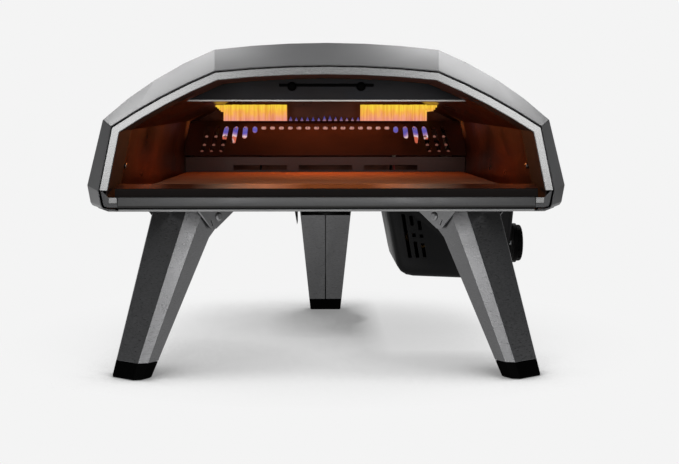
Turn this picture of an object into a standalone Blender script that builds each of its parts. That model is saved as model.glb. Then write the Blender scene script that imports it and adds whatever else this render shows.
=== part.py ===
"""Portable gas pizza oven: faceted body, folding legs, stone, burner, valve and knob.

Metres, +Z up. The origin is on the ground under the middle of the oven. The mouth faces -Y.
"""
import math
from collections import namedtuple

import bmesh
import bpy
from mathutils import Matrix, Vector

# Fits and cutting
CLEAR = 0.0003
MERGE = 0.00001
OVERRUN = 0.004
QUARTER = math.pi / 2

# Body as a whole: half width at the ridge's waist, floor of the shell, height above that floor
SHELL_HALF = 0.2645
SHELL_FLOOR = 0.1875
SHELL_RISE = 0.1795
SHELL_TOP = SHELL_FLOOR + SHELL_RISE
FRONT_Y = -0.305
REAR_Y = 0.305
RIDGE_RUN = 0.056
BACK_RIDGE_RUN = 0.07
RIDGE_Y = FRONT_Y + RIDGE_RUN
BACK_RIDGE_Y = REAR_Y - BACK_RIDGE_RUN

# How much narrower and lower than the ridge the other outlines are
FRONT_TUCK = 0.0222
FRONT_SINK = 0.0267
BACK_RIDGE_TUCK = 0.0145
BACK_RIDGE_SINK = 0.0145
REAR_TUCK = 0.0385
REAR_SINK = 0.043
LINER_TUCK = 0.065
LINER_SINK = 0.039

# Half outlines of the shell, outside, and of the liner's back, inside. The waist rises from the
# shell's floor, the shoulder stands at a share of the way from the waist to the crown.
Outline = namedtuple("Outline", "waist waist_rise crown_z foot_inset shoulder_inset shoulder_share"
                                " corner_share corner_drop bow")
SHELL_RIDGE = Outline(waist=SHELL_HALF, waist_rise=0.0235, crown_z=SHELL_TOP, foot_inset=0.0032,
                      shoulder_inset=0.0185, shoulder_share=0.4615, corner_share=0.465,
                      corner_drop=0.0075, bow=0.0065)
SHELL_FRONT = Outline(waist=SHELL_HALF - FRONT_TUCK, waist_rise=0.0205, crown_z=SHELL_TOP - FRONT_SINK,
                      foot_inset=0.0028, shoulder_inset=0.015, shoulder_share=0.5155,
                      corner_share=0.4854, corner_drop=0.0063, bow=0.003)
SHELL_BACK_RIDGE = Outline(waist=SHELL_HALF - BACK_RIDGE_TUCK, waist_rise=0.0235,
                           crown_z=SHELL_TOP - BACK_RIDGE_SINK, foot_inset=0.0032, shoulder_inset=0.018,
                           shoulder_share=0.4594, corner_share=0.468, corner_drop=0.0075, bow=0.005)
SHELL_REAR = Outline(waist=SHELL_HALF - REAR_TUCK, waist_rise=0.022, crown_z=SHELL_TOP - REAR_SINK,
                     foot_inset=0.0022, shoulder_inset=0.016, shoulder_share=0.4585,
                     corner_share=0.4779, corner_drop=0.006, bow=0.002)
LINER_BACK = Outline(waist=SHELL_HALF - LINER_TUCK, waist_rise=0.0625, crown_z=SHELL_TOP - LINER_SINK,
                     foot_inset=0, shoulder_inset=0.0065, shoulder_share=0.42, corner_share=0.6,
                     corner_drop=0.007, bow=0)
SLANT_STEPS = 4
CROWN_STEPS = 3
SHELL_WALL = 0.0012
SHELL_EDGE_ROUND = 0.0008
LIP_RUN = 0.016
TOE_RUN = 0.008
TOE_MID_RUN = 0.002
TOE_MID_RISE = 0.0015
TOE_RISE = 0.005

# Front trim, corner plates, rail and caps
TRIM_GAP = 0.0006
TRIM_WIDTH = 0.0082
TRIM_DEPTH = 0.0035
TRIM_COVER = 0.001
TRIM_EDGE_ROUND = 0.0006
RAIL_END_INSET = 0.0205
RAIL_LIFT = 0.0022
RAIL_BELOW_TRIM = 0.007
RAIL_DEPTH = 0.011
RAIL_WALL = 0.0015
RAIL_SET_BACK = 0.0008
RAIL_HALF = SHELL_FRONT.waist - RAIL_END_INSET
RAIL_FLOOR = SHELL_FLOOR + RAIL_LIFT
TRIM_FLOOR = SHELL_FLOOR + SHELL_FRONT.waist_rise
RAIL_TOP = TRIM_FLOOR - RAIL_BELOW_TRIM
PLATE_WALL = 0.0012
CORNER_PLATE_SET_BACK = 0.002
CORNER_PLATE_SLOPE = 0.006
CORNER_PLATE_EDGE = 0.0014
CAP_WIDTH = 0.0092
CAP_HEIGHT = 0.0063
CAP_DEPTH = 0.0014

# Base plate
PAN_WALL = 0.0012
PAN_HEM_INSET = 0.001
PAN_HEM_GAP = 0.0006
PAN_HEM_HALF = RAIL_HALF - PAN_HEM_INSET
PAN_HEM_TOP = RAIL_FLOOR - PAN_HEM_GAP
PAN_FLOOR = SHELL_FLOOR - CLEAR - PAN_WALL
PAN_TOP = PAN_FLOOR + PAN_WALL

# Stone, its rails and the threshold plate
STONE_SIDE_GAP = 0.0025
STONE_WALL = 0.015
STONE_BEHIND_FRONT = 0.039
STONE_ROUND = 0.0015
STONE_BACK_GAP = 0.0006
STONE_RAIL_FROM_EDGE = 0.047
STONE_RAIL_HALF = 0.014
STONE_RAIL_HEIGHT = 0.0082
STONE_RAIL_WALL = 0.001
STONE_RAIL_INSET = 0.008
STONE_HALF = LINER_BACK.waist - STONE_SIDE_GAP
STONE_FLOOR = PAN_TOP + CLEAR + STONE_RAIL_HEIGHT + CLEAR
STONE_TOP = STONE_FLOOR + STONE_WALL
STONE_FRONT_Y = FRONT_Y + STONE_BEHIND_FRONT
STONE_RAIL_X = STONE_HALF - STONE_RAIL_FROM_EDGE
THRESHOLD_SIDE_GAP = 0.0035
THRESHOLD_BEHIND_FRONT = 0.0145
THRESHOLD_WALL = 0.0012
THRESHOLD_EDGE_DROP = 0.0017
THRESHOLD_LIP = 0.0026
THRESHOLD_RUN = 0.02
THRESHOLD_TAIL = 0.0016


def inside_height(share):
    """A height above the ground, as a share of the way from the stone's top to the liner's crown."""
    return STONE_TOP + share * (LINER_BACK.crown_z - STONE_TOP)


# Liner, insulation and inner plates
LINER_WALL = 0.0008
LINER_FLOOR_GAP = 0.0005
LINER_BEFORE_REAR = 0.105
FIREBOX_DEPTH = 0.0885
LINER_END_Y = REAR_Y - LINER_BEFORE_REAR
THROAT_Y = LINER_END_Y - FIREBOX_DEPTH
LINER_STEPS = 3
JACKET_SHARE = 0.5
BLANKET_GAP = 0.001
BACK_PAD_DEPTH = 0.02
BACK_PAD_INSET = 0.004
BAFFLE_BEHIND_FRONT = 0.094
BAFFLE_DROP = 0.0263
BAFFLE_WALL = 0.0014
BAFFLE_LIP = 0.006
BAFFLE_Y = FRONT_Y + BAFFLE_BEHIND_FRONT
HANGER_HALF = 0.0535
HANGER_DROP = 0.0097
HANGER_HEIGHT = 0.0033
HANGER_DEPTH = 0.003
STUD_X = 0.039
STUD_LIFT = 0.0001
STUD_RADIUS = 0.0052
STUD_DEPTH = 0.0026
STUD_SIDES = 12
BACK_PLATE_BEHIND_THROAT = 0.002
BACK_PLATE_TOP_SHARE = 0.1778
BACK_PLATE_LEDGE = 0.012
BACK_SLOT = 0.076
BACK_SLOT_HEIGHT = 0.0068
BACK_SLOT_PITCH = 0.093
BACK_SLOT_SHARE = 0.0496
BACK_PLATE_Y = THROAT_Y + BACK_PLATE_BEHIND_THROAT
BACK_PLATE_TOP = inside_height(BACK_PLATE_TOP_SHARE)
BACK_SLOT_Z = inside_height(BACK_SLOT_SHARE)
RIVET_RADIUS = 0.0032
RIVET_HEAD = 0.0014
RIVET_BEHIND_FRONT = 0.065
RIVET_HEIGHT_SHARE = 0.181
RIVET_SIDES = 12
HEAD_FLAT_SHARE = 0.65
HEAD_RIM_SHARE = 0.35

# Burner guard and its holes
GUARD_BEFORE_BACK_PLATE = 0.0095
GUARD_RUN = 0.026
GUARD_FLOOR_SHARE = 0.2009
GUARD_TOP_SHARE = 0.6154
GUARD_LEDGE = 0.008
GUARD_WALL = 0.001
GUARD_FLOOR_Y = BACK_PLATE_Y - GUARD_BEFORE_BACK_PLATE
GUARD_TOP_Y = GUARD_FLOOR_Y + GUARD_RUN
GUARD_FLOOR = inside_height(GUARD_FLOOR_SHARE)
GUARD_TOP = inside_height(GUARD_TOP_SHARE)
HOLE_PITCH_SHARE = 0.06306
OUTER_HOLE_PITCH_SHARE = 0.06667
HOLE_PITCH = LINER_BACK.waist * HOLE_PITCH_SHARE
OUTER_HOLE_PITCH = LINER_BACK.waist * OUTER_HOLE_PITCH_SHARE
HOLE_WIDTH = 0.0072
HOLE_HEIGHT = 0.0042
HOLE_ROW_SHARE = 0.5282
SLOT_TOP_SHARE = 0.5479
SHORT_SLOT_SHARE = 0.4701
LONG_SLOT_SHARES = (0.401, 0.334, 0.2385, 0.2385, 0.2385)
LONG_SLOT_LEANS = (0.08, 0.17, 0.2, 0.22, 0.22)
PLAIN_HOLE_COUNT = 7
OVAL_SIDES = 8

# Burner tube, saddles, mixing tube and jet
BURNER_BEHIND_THROAT = 0.0465
BURNER_HEIGHT_SHARE = 0.4359
BURNER_RADIUS = 0.011
BURNER_WALL = 0.001
BURNER_LEFT_GAP = 0.0415
BURNER_RIGHT_GAP = 0.0495
BURNER_SIDES = 20
BURNER_Y = THROAT_Y + BURNER_BEHIND_THROAT
BURNER_Z = inside_height(BURNER_HEIGHT_SHARE)
BURNER_LEFT = BURNER_LEFT_GAP - LINER_BACK.waist
BURNER_RIGHT = LINER_BACK.waist - BURNER_RIGHT_GAP
PORT_COUNT = 15
PORT_END_GAP = 0.021
PORT_SPAN = BURNER_RIGHT - BURNER_LEFT - PORT_END_GAP * 2
PORT_WIDTH = 0.0022
PORT_LENGTH = 0.012
SADDLE_PLACE_SHARE = 0.4762
SADDLE_X = LINER_BACK.waist * SADDLE_PLACE_SHARE
SADDLE_WIDTH = 0.034
SADDLE_WALL = 0.0015
SADDLE_FOOT = 0.012
MIXER_FROM_LINER = 0.0235
MIXER_RADIUS = 0.0095
MIXER_WALL = 0.001
MIXER_BELOW_PAN = 0.028
MIXER_BEND = 0.02
MIXER_HOLE_GAP = 0.004
MIXER_X = LINER_BACK.waist - MIXER_FROM_LINER
MIXER_FLOOR = PAN_FLOOR - MIXER_BELOW_PAN
JET_RADIUS = 0.005
JET_HEIGHT = 0.012
JET_TIP_RADIUS = 0.002
JET_BELOW_MIXER = 0.003

# Back panel, its vents and screws
BACK_PANEL_INSET = 0.0085
BACK_PANEL_WALL = 0.0012
VENT_COUNT = 9
VENT_ROW_SHARES = (0.4212, 0.6556)
VENT_PITCH = 0.02
VENT_WIDTH = 0.006
VENT_HEIGHT = 0.022
SCREW_RADIUS = 0.004
SCREW_HEAD = 0.0022
SCREW_SIDES = 12
SCREW_EDGE = 0.03
SCREW_ABOVE_FLOOR = 0.0245
SCREW_BELOW_CROWN = 0.018

# Legs: section at the ground and at the top, and the pivot
LEG_TURN = math.radians(35.6)
LEG_SPLAY = math.radians(23.56)
PIVOT_INSET = 0.1075
PIVOT_BEHIND_FRONT = 0.1218
PIVOT_BEFORE_REAR = 0.2119
PIVOT_DROP = 0.0132
LEG_TOP_REACH = 0.036
WEB_HALF_FOOT = 0.0156
WEB_HALF_TOP = 0.0252
FOLD_FOOT = 0.0069
FOLD_TOP = 0.0135
WALL_FOOT = 0.0144
WALL_TOP = 0.0308
LEG_WALL = 0.0012
SLIT_HALF = 0.0008
RETURN_DROP = 0.0236
EAR_RADIUS = 0.01
EAR_STEPS = 6
EAR_SWEEP = math.radians(125)
CAP_FOOT_HEIGHT = 0.017
PLUG_HEIGHT = 0.016
SOLE_ROUND = 0.0012
PIN_RADIUS = 0.003
PIN_HEAD_RADIUS = 0.0052
PIN_HEAD = 0.0018
PIN_SIDES = 16

# Leg brackets and catches
BRACKET_WALL = 0.0015
CHEEK_GAP = 0.0006
CHEEK_IN = 0.042
CHEEK_OUT = 0.038
CHEEK_LOW_IN = 0.004
CHEEK_LOW_OUT = 0.012
CHEEK_DROP = 0.0265
LOCK_SLOT_RADIUS = 0.0132
LOCK_SLOT_TURN = math.radians(-27.6)
LOCK_SLOT_LENGTH = 0.0075
LOCK_SLOT_WIDTH = 0.0016
CATCH_BARREL = 0.0022
CATCH_BARREL_STEPS = 6
CATCH_NEAR = 0.0062
CATCH_WIDTH = 0.009
CATCH_TOP_DROP = 0.0062
CATCH_LENGTH = 0.0432
CATCH_TIP = -0.0029
CATCH_NOSE = -0.0039
CATCH_NOSE_DROP = 0.0385
CATCH_STEP_DROP = 0.0215
CATCH_OUTER_DROP = 0.026
BRACKET_HALF = WEB_HALF_TOP + FOLD_TOP + CHEEK_GAP + BRACKET_WALL
FRONT_PIVOT_X = SHELL_HALF - PIVOT_INSET
FRONT_PIVOT_Y = FRONT_Y + PIVOT_BEHIND_FRONT
REAR_PIVOT_Y = REAR_Y - PIVOT_BEFORE_REAR
PIVOT_Z = PAN_FLOOR - PIVOT_DROP
LEG_TOP_Z = PAN_FLOOR - CLEAR - BRACKET_WALL - CLEAR
RETURN_Z = PIVOT_Z - RETURN_DROP

# Burner housing under the body: widths run from its top corners, drops from its top
HOUSING_INSET = 0.013
HOUSING_FROM_BRACKET = 0.0347
HOUSING_LENGTH = 0.187
HOUSING_BEHIND_BURNER = 0.017
HOUSING_WALL = 0.0024
HOUSING_ROUND = 0.008
HOUSING_LOW_LEFT_IN = 0.0172
HOUSING_LOW_LEFT_DROP = 0.0864
HOUSING_FLOOR_LEFT_IN = 0.041
HOUSING_FLOOR_LEFT_DROP = 0.1089
HOUSING_FLOOR_RIGHT_IN = 0.0365
HOUSING_DROP = 0.113
HOUSING_LOW_RIGHT_IN = 0.0083
HOUSING_LOW_RIGHT_DROP = 0.0912
HOUSING_CORNER_STEPS = 4
HOUSING_EDGE_STEPS = 3
HOUSING_TOP = PAN_FLOOR - CLEAR
HOUSING_TOP_RIGHT = SHELL_HALF - HOUSING_INSET
HOUSING_TOP_LEFT = BRACKET_HALF + HOUSING_FROM_BRACKET
HOUSING_REAR_Y = BURNER_Y + HOUSING_BEHIND_BURNER
HOUSING_FRONT_Y = HOUSING_REAR_Y - HOUSING_LENGTH
HOUSING_FLOOR_RIGHT = HOUSING_TOP_RIGHT - HOUSING_FLOOR_RIGHT_IN
HOUSING_FLOOR_Z = HOUSING_TOP - HOUSING_DROP
VENT_FIRST_IN = 0.0313
VENT_COLUMN_PITCH = 0.0102
VENT_SPAN_SHARES = (((0.2593, 0.7726),),
                    ((0.2593, 0.4496), (0.5027, 0.5469), (0.6398, 0.7549)),
                    ((0.2637, 0.4274), (0.4938, 0.5336), (0.5867, 0.6929)))
VENT_SLOT_WIDTH = 0.0046
VENT_LEAN_SHARE = 0.17

# Valve, spindle and knob on one axis along X
KNOB_BEHIND_HOUSING_FRONT = 0.032
KNOB_DROP = 0.0672
KNOB_RADIUS = 0.0266
KNOB_GRIP_RADIUS = 0.0245
KNOB_SET_IN = 0.0003
KNOB_LENGTH = 0.0125
KNOB_SKIRT = 0.006
KNOB_ROUND = 0.003
KNOB_SIDES = 36
KNOB_Y = HOUSING_FRONT_Y + KNOB_BEHIND_HOUSING_FRONT
KNOB_Z = HOUSING_TOP - KNOB_DROP
KNOB_INNER_X = HOUSING_TOP_RIGHT - KNOB_SET_IN
FLUTE_COUNT = 12
FLUTE_RADIUS = 0.0028
FLUTE_SIDES = 8
POINTER_LENGTH = 0.015
POINTER_WIDTH = 0.002
POINTER_DEPTH = 0.0008
SPINDLE_HALF = 0.003
SPINDLE_GAP = 0.0004
SPINDLE_IN_KNOB = 0.008
ROTOR_RADIUS = 0.0078
ROTOR_GAP = 0.0004
ROTOR_LENGTH = 0.026
ROTOR_BEHIND_SPINDLE = 0.0095
ROTOR_PROUD = 0.0025
ROTOR_SIDES = 20
VALVE_PLACE_SHARE = 0.5938
VALVE_LENGTH = 0.034
VALVE_HALF_DEPTH = 0.016
VALVE_HALF_HEIGHT = 0.015
VALVE_ROUND = 0.0025
VALVE_LEFT_X = HOUSING_TOP_LEFT + VALVE_PLACE_SHARE * (HOUSING_TOP_RIGHT - HOUSING_TOP_LEFT)
VALVE_RIGHT_X = VALVE_LEFT_X + VALVE_LENGTH
ROTOR_INNER_X = VALVE_RIGHT_X + ROTOR_PROUD - ROTOR_LENGTH
SPINDLE_INNER_X = ROTOR_INNER_X + ROTOR_BEHIND_SPINDLE
SPINDLE_LENGTH = KNOB_INNER_X + SPINDLE_IN_KNOB - SPINDLE_INNER_X
SPINDLE_HOLE_RADIUS = 0.0062
HOLE_SIDES = 16

# Gas pipes, inlet, igniter and its lead
PIPE_RADIUS = 0.0035
PIPE_ROUND = 0.012
INLET_PLACE_SHARE = 0.2813
INLET_DROP = 0.0737
INLET_RADIUS = 0.0085
INLET_BARREL_RADIUS = 0.0065
INLET_LENGTH = 0.024
INLET_NUT = 0.009
INLET_INSIDE = 0.006
INLET_X = HOUSING_TOP_LEFT + INLET_PLACE_SHARE * (HOUSING_TOP_RIGHT - HOUSING_TOP_LEFT)
INLET_Z = HOUSING_TOP - INLET_DROP
PIEZO_RADIUS = 0.007
PIEZO_HEIGHT = 0.026
PIEZO_NECK_SHARE = 0.8
PIEZO_SIDES = 14
LEAD_RADIUS = 0.0013
LEAD_ROUND = 0.01
LEAD_DROP = 0.0099
LEAD_Z = HOUSING_TOP - LEAD_DROP
ELECTRODE_RADIUS = 0.0028
ELECTRODE_BELOW_BURNER = 0.037
ELECTRODE_LENGTH = 0.039
ELECTRODE_BEFORE_BURNER = 0.0145
ELECTRODE_TIP_RADIUS = 0.0009
ELECTRODE_TIP_HEIGHT = 0.012
ELECTRODE_Y = BURNER_Y - ELECTRODE_BEFORE_BURNER
ELECTRODE_FLOOR = BURNER_Z - ELECTRODE_BELOW_BURNER
TUBE_ROUND_STEPS = 4


def empty_scene():
    """Remove what the scene holds and make the two collections."""
    for thing in list(bpy.data.objects):
        bpy.data.objects.remove(thing, do_unlink=True)
    for name in ("pizza_oven", "cutters"):
        bpy.context.scene.collection.children.link(bpy.data.collections.new(name))


def finish(name, colour, roughness, metallic=0.0):
    """A plain material of one colour."""
    material = bpy.data.materials.new(name)
    material.use_nodes = True
    shader = material.node_tree.nodes["Principled BSDF"]
    shader.inputs["Base Color"].default_value = (*colour, 1.0)
    shader.inputs["Roughness"].default_value = roughness
    shader.inputs["Metallic"].default_value = metallic
    return material


def place(name, mesh, material, matrix=Matrix.Identity(4), parent=None):
    """Put a mesh in the oven's collection as a named part."""
    piece = bpy.data.objects.new(name, mesh)
    bpy.data.collections["pizza_oven"].objects.link(piece)
    mesh.materials.clear()
    mesh.materials.append(material)
    piece.parent = parent
    piece.matrix_local = matrix
    return piece


def carve(piece, name, mesh, matrix=Matrix.Identity(4)):
    """Cut a mesh, placed in the piece's own space, out of a piece."""
    tool = bpy.data.objects.new(name, mesh)
    bpy.data.collections["cutters"].objects.link(tool)
    tool.parent = piece
    tool.matrix_local = matrix
    tool.hide_render = True
    tool.display_type = "WIRE"
    modifier = piece.modifiers.new(name, "BOOLEAN")
    modifier.operation = "DIFFERENCE"
    modifier.object = tool


def soften(piece, width, steps=1, angle=math.radians(24)):
    """Round the edges of a piece that are sharper than an angle."""
    modifier = piece.modifiers.new("rounding", "BEVEL")
    modifier.width = width
    modifier.segments = steps
    modifier.limit_method = "ANGLE"
    modifier.angle_limit = angle


def thicken(piece, wall, outward=False):
    """Give an open surface its sheet thickness."""
    modifier = piece.modifiers.new("sheet", "SOLIDIFY")
    modifier.thickness = wall
    modifier.offset = 1.0 if outward else -1.0
    modifier.solidify_mode = "NON_MANIFOLD"
    modifier.nonmanifold_thickness_mode = "CONSTRAINTS"


def mesh_from(name, points, faces):
    mesh = bpy.data.meshes.new(name)
    mesh.from_pydata([tuple(point) for point in points], [], faces)
    mesh.update()
    return mesh


def mesh_of(shape, name):
    """Turn a bmesh into a mesh."""
    mesh = bpy.data.meshes.new(name)
    shape.to_mesh(mesh)
    shape.free()
    return mesh


def box_mesh(name, low, high):
    low = Vector(low)
    high = Vector(high)
    shape = bmesh.new()
    matrix = Matrix.Translation((low + high) / 2) @ Matrix.Diagonal((*(high - low), 1.0))
    bmesh.ops.create_cube(shape, size=1.0, matrix=matrix)
    return mesh_of(shape, name)


def rod_mesh(name, radius, start, end, sides):
    """A round bar between two points."""
    start = Vector(start)
    end = Vector(end)
    shape = bmesh.new()
    run = end - start
    matrix = Matrix.Translation((start + end) / 2) @ run.to_track_quat("Z", "Y").to_matrix().to_4x4()
    bmesh.ops.create_cone(shape, cap_ends=True, segments=sides, radius1=radius, radius2=radius,
                          depth=run.length, matrix=matrix)
    return mesh_of(shape, name)


def joined(name, meshes):
    """Several closed bodies in one mesh, for a cutter."""
    shape = bmesh.new()
    for mesh in meshes:
        shape.from_mesh(mesh)
    return mesh_of(shape, name)


def curve_mesh(name, curve):
    """The mesh of a curve, with its caps welded on."""
    holder = bpy.data.objects.new(name, curve)
    bpy.context.scene.collection.objects.link(holder)
    graph = bpy.context.evaluated_depsgraph_get()
    mesh = bpy.data.meshes.new_from_object(holder.evaluated_get(graph))
    bpy.data.objects.remove(holder, do_unlink=True)
    shape = bmesh.new()
    shape.from_mesh(mesh)
    bmesh.ops.remove_doubles(shape, verts=shape.verts, dist=MERGE)
    bmesh.ops.recalc_face_normals(shape, faces=shape.faces)
    return mesh_of(shape, name)


def flat_mesh(name, outline, wall):
    """A flat plate in the local XY plane, half its thickness on either side."""
    curve = bpy.data.curves.new(name, "CURVE")
    curve.dimensions = "2D"
    curve.fill_mode = "BOTH"
    curve.extrude = wall / 2
    spline = curve.splines.new("POLY")
    spline.points.add(len(outline) - 1)
    for point, (x, y) in zip(spline.points, outline):
        point.co = (x, y, 0, 1)
    spline.use_cyclic_u = True
    return curve_mesh(name, curve)


def tube_mesh(name, path, radius):
    """A solid round wire or pipe along a path."""
    curve = bpy.data.curves.new(name, "CURVE")
    curve.dimensions = "3D"
    curve.bevel_depth = radius
    curve.bevel_resolution = 2
    curve.use_fill_caps = True
    spline = curve.splines.new("POLY")
    spline.points.add(len(path) - 1)
    for point, place_of in zip(spline.points, path):
        point.co = (*place_of, 1)
    return curve_mesh(name, curve)


def turned(name, profile, sides, material, matrix, parent=None):
    """A turned piece: its profile runs down from the top of the local Z axis."""
    mesh = bpy.data.meshes.new(name)
    edges = [(index, index + 1) for index in range(len(profile) - 1)]
    mesh.from_pydata([(x, 0, z) for x, z in profile], edges, [])
    piece = place(name, mesh, material, matrix, parent)
    modifier = piece.modifiers.new("turning", "SCREW")
    modifier.steps = sides
    modifier.render_steps = sides
    modifier.use_merge_vertices = True
    modifier.merge_threshold = MERGE
    return piece


def head_profile(radius, height, foot=0.0):
    """The profile of a flat-topped head on a rivet, screw, stud or pin."""
    return [(0, foot + height), (radius * HEAD_FLAT_SHARE, foot + height),
            (radius, foot + height * HEAD_RIM_SHARE), (radius, foot), (0, foot)]


def rounded_path(corners, radius):
    """Points along straight runs whose corners are rounded."""
    corners = [Vector(corner) for corner in corners]
    path = [corners[0]]
    for before, corner, after in zip(corners, corners[1:], corners[2:]):
        run_in = before - corner
        run_out = after - corner
        reach = min(radius, run_in.length / 2, run_out.length / 2)
        start = corner + run_in.normalized() * reach
        end = corner + run_out.normalized() * reach
        for step in range(TUBE_ROUND_STEPS + 1):
            share = step / TUBE_ROUND_STEPS
            path.append(start.lerp(corner, share).lerp(corner.lerp(end, share), share))
    path.append(corners[-1])
    return path


def rows_mesh(name, rows):
    """An open surface through rows that have the same number of points."""
    width = len(rows[0])
    faces = []
    for row in range(len(rows) - 1):
        for index in range(width - 1):
            low = row * width + index
            faces.append((low, low + 1, low + width + 1, low + width))
    return mesh_from(name, [point for row in rows for point in row], faces)


def solid_mesh(name, rings):
    """A closed body through rings of points, flat at its two ends."""
    width = len(rings[0])
    faces = [tuple(range(width)), tuple(range(len(rings) * width - 1, (len(rings) - 1) * width - 1, -1))]
    for ring in range(len(rings) - 1):
        for index in range(width):
            low = ring * width + index
            next_low = ring * width + (index + 1) % width
            faces.append((low, low + width, next_low + width, next_low))
    shape = bmesh.new()
    shape.from_mesh(mesh_from(name, [point for ring in rings for point in ring], faces))
    bmesh.ops.recalc_face_normals(shape, faces=shape.faces)
    return mesh_of(shape, name)


def inset(points, distance):
    """A line of (x, z) points moved to its right-hand side, with mitred corners."""
    normals = []
    for (x0, z0), (x1, z1) in zip(points, points[1:]):
        length = math.hypot(x1 - x0, z1 - z0)
        normals.append(Vector(((z1 - z0) / length, (x0 - x1) / length)))
    moved = []
    for index, point in enumerate(points):
        before = normals[max(index - 1, 0)]
        after = normals[min(index, len(normals) - 1)]
        shift = (before + after) / (1 + before.dot(after)) * distance
        moved.append((point[0] + shift.x, point[1] + shift.y))
    return moved


def levelled(line, height):
    """A line whose two ends are slid along it to a height."""
    line = list(line)
    for end, beside in ((0, 1), (-1, -2)):
        (x0, z0), (x1, z1) = line[end], line[beside]
        line[end] = (x0 + (x1 - x0) * (height - z0) / (z1 - z0), height)
    return line


def blended(first, second, share):
    """Points part of the way from one line of points to another."""
    return [(x0 + (x1 - x0) * share, z0 + (z1 - z0) * share) for (x0, z0), (x1, z1) in zip(first, second)]


def mirrored(half):
    """A whole outline, left to right over the top, from its right half."""
    return [(-x, z) for x, z in half] + [(x, z) for x, z in reversed(half[:-1])]


def arch(outline):
    """The right half of an outline from its widest point up to its crown."""
    corner = outline.waist * outline.corner_share
    waist_z = SHELL_FLOOR + outline.waist_rise
    shoulder_z = waist_z + outline.shoulder_share * (outline.crown_z - waist_z)
    start = Vector((outline.waist - outline.shoulder_inset, shoulder_z))
    end = Vector((corner, outline.crown_z - outline.corner_drop))
    outward = Vector((end.y - start.y, start.x - end.x)).normalized()
    points = [(outline.waist, waist_z)]
    for step in range(SLANT_STEPS + 1):
        share = step / SLANT_STEPS
        bulge = outline.bow * 4 * share * (1 - share)
        points.append(tuple(start.lerp(end, share) + outward * bulge))
    for step in range(1, CROWN_STEPS + 1):
        share = 1 - step / CROWN_STEPS
        points.append((corner * share, outline.crown_z - outline.corner_drop * share ** 2))
    return points


def foot_of(outline):
    """Half width of an outline where its side meets the turned-in toe."""
    return outline.waist - outline.foot_inset


def shell_half(outline):
    """The right half of the shell's outline, with its turned-in lower lip."""
    foot = foot_of(outline)
    toe = [(foot - LIP_RUN, SHELL_FLOOR), (foot - TOE_RUN, SHELL_FLOOR),
           (foot - TOE_MID_RUN, SHELL_FLOOR + TOE_MID_RISE), (foot, SHELL_FLOOR + TOE_RISE)]
    return toe + arch(outline)


def half_width(line, height):
    """How far a whole outline reaches from the middle at a height."""
    half = line[:len(line) // 2 + 1]
    for (x0, z0), (x1, z1) in zip(half, half[1:]):
        if height <= z1:
            break
    share = max(height - z0, 0) / (z1 - z0)
    return -(x0 + (x1 - x0) * share)


def at_depth(points, y):
    """Points of an outline set up at a depth."""
    return [(x, y, z) for x, z in points]


def shell_arch_at(y):
    """The shell's arch between its two ridges."""
    share = (y - RIDGE_Y) / (BACK_RIDGE_Y - RIDGE_Y)
    return blended(mirrored(arch(SHELL_RIDGE)), mirrored(arch(SHELL_BACK_RIDGE)), share)


def trim_line(extra):
    """A line inside the shell's front edge, from the foot of one side to the other's."""
    line = inset(mirrored(arch(SHELL_FRONT)), SHELL_WALL + TRIM_GAP + extra)
    return levelled(line, TRIM_FLOOR)


LINER_FRONT_Y = FRONT_Y + TRIM_DEPTH + CLEAR


def liner_arch_at(y):
    """The liner's inner arch at a depth; it keeps one shape behind its throat."""
    share = min((y - LINER_FRONT_Y) / (THROAT_Y - LINER_FRONT_Y), 1.0)
    return blended(trim_line(TRIM_WIDTH - TRIM_COVER), mirrored(arch(LINER_BACK)), share)


def liner_stations():
    """Depths at which the liner's shape is set."""
    between = [RIDGE_Y + (THROAT_Y - RIDGE_Y) * step / LINER_STEPS for step in range(LINER_STEPS + 1)]
    return [LINER_FRONT_Y] + between + [LINER_END_Y]


def make_shell(steel):
    stations = ((SHELL_FRONT, FRONT_Y), (SHELL_RIDGE, RIDGE_Y), (SHELL_BACK_RIDGE, BACK_RIDGE_Y),
                (SHELL_REAR, REAR_Y))
    rows = [at_depth(mirrored(shell_half(outline)), y) for outline, y in stations]
    shell = place("outer_shell", rows_mesh("outer_shell", rows), steel)
    thicken(shell, SHELL_WALL)
    soften(shell, SHELL_EDGE_ROUND)


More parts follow.
